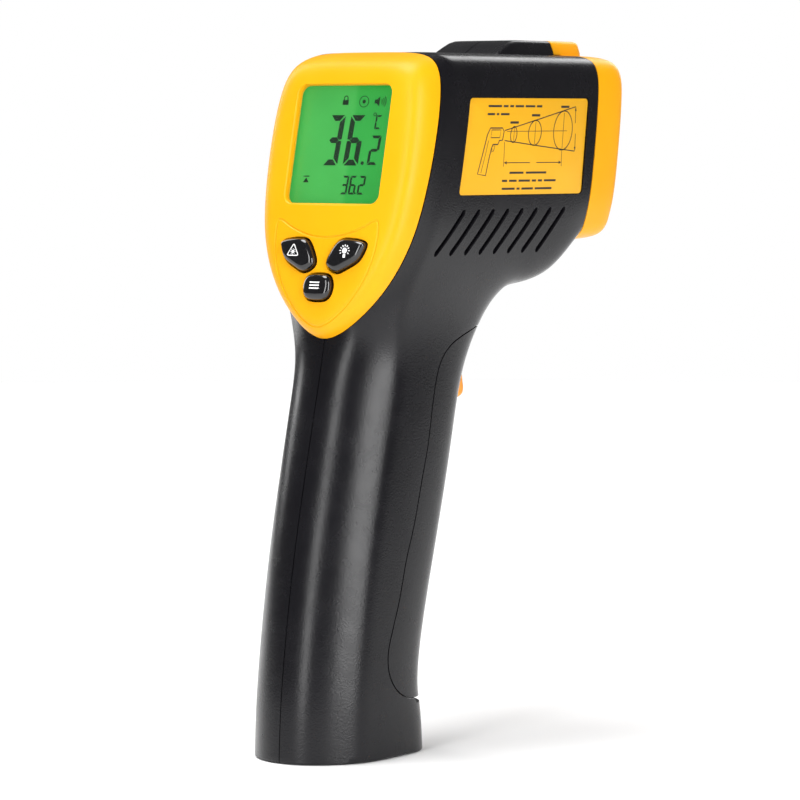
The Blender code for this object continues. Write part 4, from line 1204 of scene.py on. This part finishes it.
for name, shape in KEY_SHAPES.items():
    curve = key_curve(shape, 0.0)
    centre_x = sum(p[0] for p in curve) / len(curve)
    centre_y = sum(p[1] for p in curve) / len(curve)
    rings = [[on_face(x, h, depth) for x, h in key_curve(shape, amount)]
             for depth, amount in KEY_LEVELS]
    flat = key_curve(shape, KEY_LEVELS[-1][1])
    for share, depth in ((0.8, -1.61), (0.55, -1.66), (0.25, -1.69)):
        rings.append([on_face(centre_x + (x - centre_x) * share, centre_y + (h - centre_y) * share,
                              depth) for x, h in flat])
    cap = skin(f"{name}_cap", rings)
    piece(cap, KEY_BODIES[name], "key_gloss", KEY_BLACK, name, degrees=60)
    polygons, strips = key_icons(name, centre_x, centre_y)
    icon = print_marks(f"{name}_icon", polygons, strips, lambda u, v, h: on_face(u, v, -h),
                       1.45, 1.70)
    piece(icon, KEY_BODIES[name], "backlight_white", PRINT_WHITE)


# ---------------------------------------------------------------- side labels
def label_at(u, v):
    """A place on the label from shares of its width and height."""
    low = Vector(LABEL_CORNERS[0]).lerp(Vector(LABEL_CORNERS[1]), u)
    high = Vector(LABEL_CORNERS[3]).lerp(Vector(LABEL_CORNERS[2]), u)
    return low.lerp(high, v)


def label_drawing():
    """Generic measuring diagram: meter, widening cone, spots, dimension lines and text bars."""
    lines = []
    fills = []

    def line(*shares, width=0.26, closed=False):
        lines.append(strip([tuple(label_at(*s)) for s in shares], width, closed))

    def bar(u0, u1, v, tall=0.022):
        fills.append([tuple(label_at(u, w)) for u, w in ((u0, v), (u1, v), (u1, v + tall),
                                                         (u0, v + tall))])

    def arrow(u, v, du, dv):
        tip = label_at(u, v)
        back = label_at(u + du, v + dv)
        side = Vector((-(back - tip).y, (back - tip).x)) * 0.35
        fills.append([tuple(tip), tuple(back + side), tuple(back - side)])

    line((0.312, 0.664), (0.60, 0.787), (0.895, 0.913), width=0.22)
    line((0.318, 0.560), (0.60, 0.505), (0.915, 0.446), width=0.22)
    line((0.330, 0.655), (0.55, 0.657), (0.835, 0.660), width=0.12)
    for u, v, ru, rv in ((0.388, 0.622, 0.026, 0.082), (0.564, 0.639, 0.054, 0.130),
                         (0.802, 0.664, 0.080, 0.205)):
        lines.append(strip([tuple(label_at(*p)) for p in ellipse(u, v, ru, rv, 40)], 0.24, True))
        line((u + 0.004, v - rv * 0.9), (u + 0.002, v), (u, v + rv * 0.9), width=0.14)
    line((0.318, 0.545), (0.325, 0.420), (0.330, 0.290), width=0.16)
    line((0.806, 0.450), (0.808, 0.370), (0.812, 0.290), width=0.16)
    line((0.345, 0.330), (0.450, 0.330), (0.545, 0.330), width=0.18)
    line((0.600, 0.330), (0.700, 0.330), (0.795, 0.330), width=0.18)
    arrow(0.331, 0.330, 0.022, 0.0)
    arrow(0.809, 0.330, -0.022, 0.0)
    line((0.898, 0.880), (0.901, 0.800), (0.904, 0.740), width=0.18)
    line((0.912, 0.630), (0.914, 0.550), (0.916, 0.485), width=0.18)
    arrow(0.897, 0.913, 0.002, -0.045)
    arrow(0.917, 0.446, -0.002, 0.045)
    line((0.192, 0.690), (0.290, 0.690), (0.306, 0.655), (0.300, 0.565), (0.275, 0.560),
         (0.265, 0.520), (0.225, 0.520), (0.215, 0.470), (0.205, 0.370), (0.192, 0.200),
         (0.126, 0.215), (0.150, 0.420), (0.172, 0.620), width=0.28, closed=True)
    line((0.205, 0.670), (0.280, 0.670), (0.275, 0.590), (0.203, 0.590), width=0.20, closed=True)
    line((0.220, 0.505), (0.243, 0.505), (0.236, 0.455), (0.222, 0.440), width=0.18, closed=True)
    line((0.186, 0.560), (0.174, 0.420), (0.152, 0.225), width=0.14)
    for u0, u1 in ((0.155, 0.265), (0.280, 0.320), (0.335, 0.365), (0.380, 0.450),
                   (0.465, 0.545), (0.560, 0.605)):
        bar(u0, u1, 0.905)
    for u0, u1 in ((0.155, 0.215), (0.230, 0.250), (0.265, 0.335)):
        bar(u0, u1, 0.822)
    for u0, v in ((0.350, 0.735), (0.525, 0.810), (0.770, 0.900)):
        bar(u0, u0 + 0.070, v, 0.024)
    for u0, u1, v in ((0.385, 0.500, 0.215), (0.520, 0.690, 0.215), (0.330, 0.372, 0.132),
                      (0.388, 0.450, 0.132), (0.466, 0.560, 0.132), (0.576, 0.610, 0.132),
                      (0.626, 0.660, 0.132), (0.676, 0.775, 0.132), (0.335, 0.440, 0.050),
                      (0.456, 0.480, 0.050), (0.496, 0.590, 0.050), (0.606, 0.745, 0.050)):
        bar(u0, u1, v)
    return fills, lines


fills, lines = label_drawing()
for side, name in ((1, "right_label"), (-1, "left_label")):
    outline = label_outline(0.0)
    levels = [(20.05, 0.0), (20.24, 0.0), (20.28, -0.03), (LABEL_FACE, -0.09)]
    plate = skin(f"{name}_film", [[spot(side * x, y, z) for y, z in offset_loop(outline, amount)]
                                  for x, amount in levels])
    piece(plate, "handset", "label_film", LABEL, name)
    ink = print_marks(f"{name}_ink", fills, lines,
                      lambda u, v, h, s=side: spot(s * (LABEL_FACE + h), u, v), -0.01, 0.02)
    piece(ink, "handset", "wire_black", PRINT_BLACK)


# ---------------------------------------------------------------- nose cap and optics
def nose_ring(forward, inset):
    """Half outline of the nose cap, forward of its seat."""
    outline = [(0.0, 108.9), (9.0, 108.9), (18.6, 109.0), (19.5, 113.6), (20.5, 118.0),
               (20.7, 130.0), (20.6, 141.0), (19.7, 149.6), (10.0, 149.8), (0.0, 149.8)]
    ring = []
    for x, z in outline:
        high = 129.4 + (z - 129.4) * (1 - inset / 20.4)
        ring.append((x * (1 - inset / 20.0), nose_depth(high) + forward, high))
    return ring


NOSE_CAGE = grid_cage([nose_ring(GAP, 0.0), nose_ring(6.0, 0.0), nose_ring(11.8, 0.4),
                       nose_ring(12.7, 3.4)], range(3, 7), [2, 1, 0], [7, 8, 9], 0.2)
nose = moulded_shell("nose_shell", NOSE_CAGE, COVER_WALL)
tip = ridge_tip()
carve(tip, [slab("under_tip", (-14, 60, 140), (14, 69.1, 150.0))], "DIFFERENCE")
collar = turned("collar", (0, 72.0, LASER_AXIS_Z), (0, 1, 0), [(0, 4.3), (8.0, 4.3), (8.4, 4.15),
                                                             (8.6, 3.8)])
carve(nose, [tip], "UNION")
carve(nose, [collar], "UNION")
lens_hole = turned("lens_hole", (0, 60, LENS_AXIS_Z), (0, 1, 0),
                   [(0, 10.25), (18.2, 10.25), (19.2, 10.9), (40, 10.9)])
carve(nose, [laser_bore(), lens_hole], "DIFFERENCE")
piece(nose, "handset", "cover_yellow", YELLOW, "nose_cap")

ring_profile = [(0.0, 5.2), (0.0, 10.0), (7.1, 10.0), (7.4, 9.85), (7.55, 9.6), (7.55, 9.1),
                (7.3, 8.85), (6.2, 8.2), (5.9, 7.75), (4.4, 7.05), (4.1, 6.6), (2.4, 5.9),
                (1.2, 5.2)]
lens_ring = turned("lens_funnel", (0, 70.2, LENS_AXIS_Z), (0, 1, 0), ring_profile, loop=True)
piece(lens_ring, "handset", "optics_black", OPTICS, "lens_ring")
dome = [(0.0, 6.3), (1.2, 6.3), (1.2, 5.3)]
for k in range(1, 9):
    a = math.radians(90 * k / 9)
    dome.append((1.2 + 0.95 * math.sin(a), 5.2 * math.cos(a) + 0.1))
lens = turned("lens_dome", (0, 68.0, LENS_AXIS_Z), (0, 1, 0), dome)
piece(lens, "handset", "infrared_lens", LENS, "infrared_lens")
barrel = turned("lens_tube", (0, 49.0, LENS_AXIS_Z), (0, 1, 0),
                [(0, 5.0), (0, 9.4), (0.2, 9.6), (3.8, 9.6), (4, 9.4), (4, 7.6), (18.5, 7.6),
                 (18.7, 7.4), (18.7, 5.0)], loop=True)
piece(barrel, "handset", "optics_black", OPTICS, "lens_barrel")
aperture = turned("laser_pane", (0, 77.0, LASER_AXIS_Z), (0, 1, 0),
                  [(0, 2.0), (0.8, 2.0), (0.95, 1.8), (1.0, 1.4)])
piece(aperture, "handset", "laser_red", LASER_RED, "laser_window")


# ---------------------------------------------------------------- screws
for k, (y, z) in enumerate(SCREW_SPOTS):
    screw = turned(f"screw_{k + 1}", (-8.1, y, z), (1, 0, 0),
                   [(0, 1.9), (0.25, 2.3), (0.6, 2.55), (1.0, 2.6), (1.9, 2.6), (1.9, 1.25),
                    (13.5, 1.25), (14.5, 0.5)], 32)
    cross = [slab("slot_a", (-9.0, y - 1.5, z - 0.32), (-7.2, y + 1.5, z + 0.32)),
             slab("slot_b", (-9.0, y - 0.32, z - 1.5), (-7.2, y + 0.32, z + 1.5))]
    carve(screw, cross, "DIFFERENCE")
    piece(screw, "handset", "zinc_steel", STEEL, f"housing_screw_{k + 1}")


# ---------------------------------------------------------------- trigger
outline = smooth_loop(TRIGGER_OUTLINE, 3)
rings = []
for x, inset in ((-6.3, 1.1), (-6.22, 0.75), (-6.0, 0.38), (-5.6, 0.12), (-5.1, 0.0), (-2.5, 0.0),
                 (0.0, 0.0), (2.5, 0.0), (5.1, 0.0), (5.6, 0.12), (6.0, 0.38), (6.22, 0.75),
                 (6.3, 1.1)):
    rings.append([spot(x, y, z) for y, z in offset_loop(outline, -inset)])
trigger = skin("trigger_lever", rings)
carve(trigger, [turned("trigger_hole", (-9, *TRIGGER_PIVOT), (1, 0, 0), [(0, 1.2), (18, 1.2)])],
      "DIFFERENCE")
piece(trigger, "trigger_arm", "trigger_orange", ORANGE, "trigger")


# ---------------------------------------------------------------- battery and its snap
half_x, half_y, half_z = (s / 2 for s in BATTERY_SIZE)


def leaning_ring(wide, deep, radius, height, inset):
    """A rounded section across the battery's long axis, from half sizes."""
    outline = rounded_box(-wide + inset, wide - inset, -deep + inset, deep - inset, radius)
    return [spot(*(BATTERY @ Vector((x, y, height)))) for x, y in outline]


jacket = skin("battery_can", [leaning_ring(half_x, half_y, 2.2, h, i) for h, i in (
    (-half_z, 1.3), (-half_z + 0.08, 0.6), (-half_z + 0.35, 0.2), (-half_z + 0.9, 0.0),
    (half_z - 9.0, 0.0), (half_z - 0.9, 0.0), (half_z - 0.35, 0.2), (half_z - 0.08, 0.6),
    (half_z - 0.08, 1.3), (half_z - 0.5, 1.5))])
piece(jacket, "handset", "battery_jacket", BATTERY_METAL, "battery")
band = skin("battery_band", [leaning_ring(half_x, half_y, 2.2, h, i) for h, i in (
    (half_z - 13.0, -0.05), (half_z - 2.5, -0.05), (half_z - 2.5, 0.3), (half_z - 13.0, 0.3))],
    loop=True)
piece(band, "handset", "battery_jacket", BATTERY_BAND)


snap = skin("battery_clip", [leaning_ring(6.6, 11.6, 2.4, half_z + h, i) for h, i in (
    (0.3, 0.3), (0.5, 0.05), (0.8, 0.0), (2.6, 0.0), (3.1, 0.2), (3.35, 0.6), (3.4, 1.2))])
piece(snap, "handset", "black_rubber", RUBBER, "battery_snap")


def tube_ring(centre, radius, side, lift, count):
    """A ring in the plane of two square unit directions."""
    ring = []
    for s in range(count):
        a = math.radians(360 / count * s)
        ring.append(spot(*(centre + radius * (math.cos(a) * side + math.sin(a) * lift))))
    return ring


def wire(name, path, radius):
    """A smooth round wire through design points."""
    dense = smooth_line(path, 8)
    points = [Vector(p) for p in dense]
    rings = []
    for k, p in enumerate(points):
        run = (points[min(k + 1, len(points) - 1)] - points[max(k - 1, 0)]).normalized()
        side = run.cross(Vector((1, 0, 0))).normalized()
        lift = side.cross(run).normalized()
        rings.append(tube_ring(p, radius, side, lift, 12))
    return skin(name, rings)


spring_rings = []
for k in range(SPRING_POINTS + 1):
    turn = 2 * math.pi * k / SPRING_TURN_POINTS
    ease = min(max((k / SPRING_POINTS - 0.1) / 0.8, 0.0), 1.0)
    centre = Vector((SPRING_RADIUS * math.cos(turn), 20.55 + 7.55 * ease,
                     SPRING_AXIS_Z + SPRING_RADIUS * math.sin(turn)))
    outward = Vector((math.cos(turn), 0.0, math.sin(turn)))
    spring_rings.append(tube_ring(centre, 0.28, outward, Vector((0, 1, 0)), 10))
spring = piece(skin("spring_coil", spring_rings), "handset", "spring_steel", SPRING,
               "trigger_spring", degrees=60)
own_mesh(spring)

for name, x, mat, slot in (("red_lead", 2.2, WIRE_RED, "wire_red"),
                           ("black_lead", -2.2, WIRE_BLACK, "wire_black")):
    path = [BATTERY @ Vector((x, -5.0, half_z + 3.5)), BATTERY @ Vector((x, -5.0, half_z + 7.0)),
            Vector((x * 2.0, 13.6, 82.0)), Vector((x * 2.6, 14.4, 90.0)),
            Vector((x * 2.6, 12.6, 97.0)), Vector((x * 2.2, 9.6, 103.0)),
            Vector((x * 2.0, 6.6, 107.0))]
    piece(wire(f"{name}_wire", path, 0.6), "handset", slot, mat, name)


# ---------------------------------------------------------------- floor, light and camera
def floor():
    """A pale disc, large enough for the views and their shadows."""
    steps = 128
    rim = [(FLOOR_RADIUS * math.cos(2 * math.pi * k / steps),
            FLOOR_RADIUS * math.sin(2 * math.pi * k / steps), 0.0) for k in range(steps)]
    made = link_mesh("floor", rim, [tuple(range(steps))])
    mat, tree, shader = nodes_of("pale_floor")
    mottle = noise(tree, 8.0, 3.0)
    tree.links.new(tint(tree, mottle.outputs["Fac"], (0.88, 0.88, 0.88), (0.90, 0.90, 0.90)),
                   shader.inputs["Base Color"])
    tree.links.new(spread(tree, mottle.outputs["Fac"], 0.55, 0.65), shader.inputs["Roughness"])
    shader.inputs["Specular IOR Level"].default_value = 0.15
    made.data.materials.append(mat)


def area_light(name, place, wide, power):
    """A tall strip light that faces the middle of the object; metres and watts."""
    lamp = bpy.data.lights.new(name, "AREA")
    lamp.shape = "RECTANGLE"
    lamp.size = wide
    lamp.size_y = 0.9
    lamp.energy = power
    made = bpy.data.objects.new(name, lamp)
    bpy.context.scene.collection.objects.link(made)
    made.location = place
    made.rotation_euler = (Vector(TARGET) - Vector(place)).to_track_quat("-Z", "Y").to_euler()


def sky():
    """White to look at, dim to light by, so that the black plastic stays black."""
    world = bpy.data.worlds.new("studio")
    bpy.context.scene.world = world
    world.use_nodes = True
    tree = world.node_tree
    back = tree.nodes["Background"]
    back.inputs["Color"].default_value = (1.0, 1.0, 1.0, 1.0)
    rays = tree.nodes.new("ShaderNodeLightPath")
    level = tree.nodes.new("ShaderNodeMapRange")
    level.inputs["To Min"].default_value = 0.14
    level.inputs["To Max"].default_value = 1.0
    tree.links.new(rays.outputs["Is Camera Ray"], level.inputs["Value"])
    tree.links.new(level.outputs["Result"], back.inputs["Strength"])


floor()
sky()
for name, place, wide, power in (("key_strip", (0.83, -0.40, 0.36), 0.27, 7.4),
                                 ("back_strip", (0.12, -0.90, 0.36), 0.19, 4.2),
                                 ("front_soft", (-0.25, 1.05, 0.60), 0.4, 3.5),
                                 ("left_soft", (-0.90, 0.10, 0.55), 0.3, 3.5)):
    area_light(name, place, wide, power)
sun = bpy.data.lights.new("overhead", "SUN")
sun.energy = 3.0
sun.angle = math.radians(38)
overhead = bpy.data.objects.new("overhead", sun)
bpy.context.scene.collection.objects.link(overhead)
overhead.rotation_euler = (math.radians(8), math.radians(-10), 0.0)

camera = bpy.data.cameras.new("camera")
camera.lens = 171.0
camera.sensor_width = 36.0
camera.clip_start = 0.01
viewer = bpy.data.objects.new("camera", camera)
bpy.context.scene.collection.objects.link(viewer)
right = Vector(CAMERA_RIGHT).normalized()
look = Vector(CAMERA_LOOK).normalized()
up = right.cross(look).normalized()
turn = Matrix((right, up, -look)).transposed().to_4x4()
viewer.matrix_world = Matrix.Translation(Vector(CAMERA_PLACE)) @ turn
bpy.context.scene.camera = viewer
bpy.context.scene.view_settings.view_transform = "Standard"
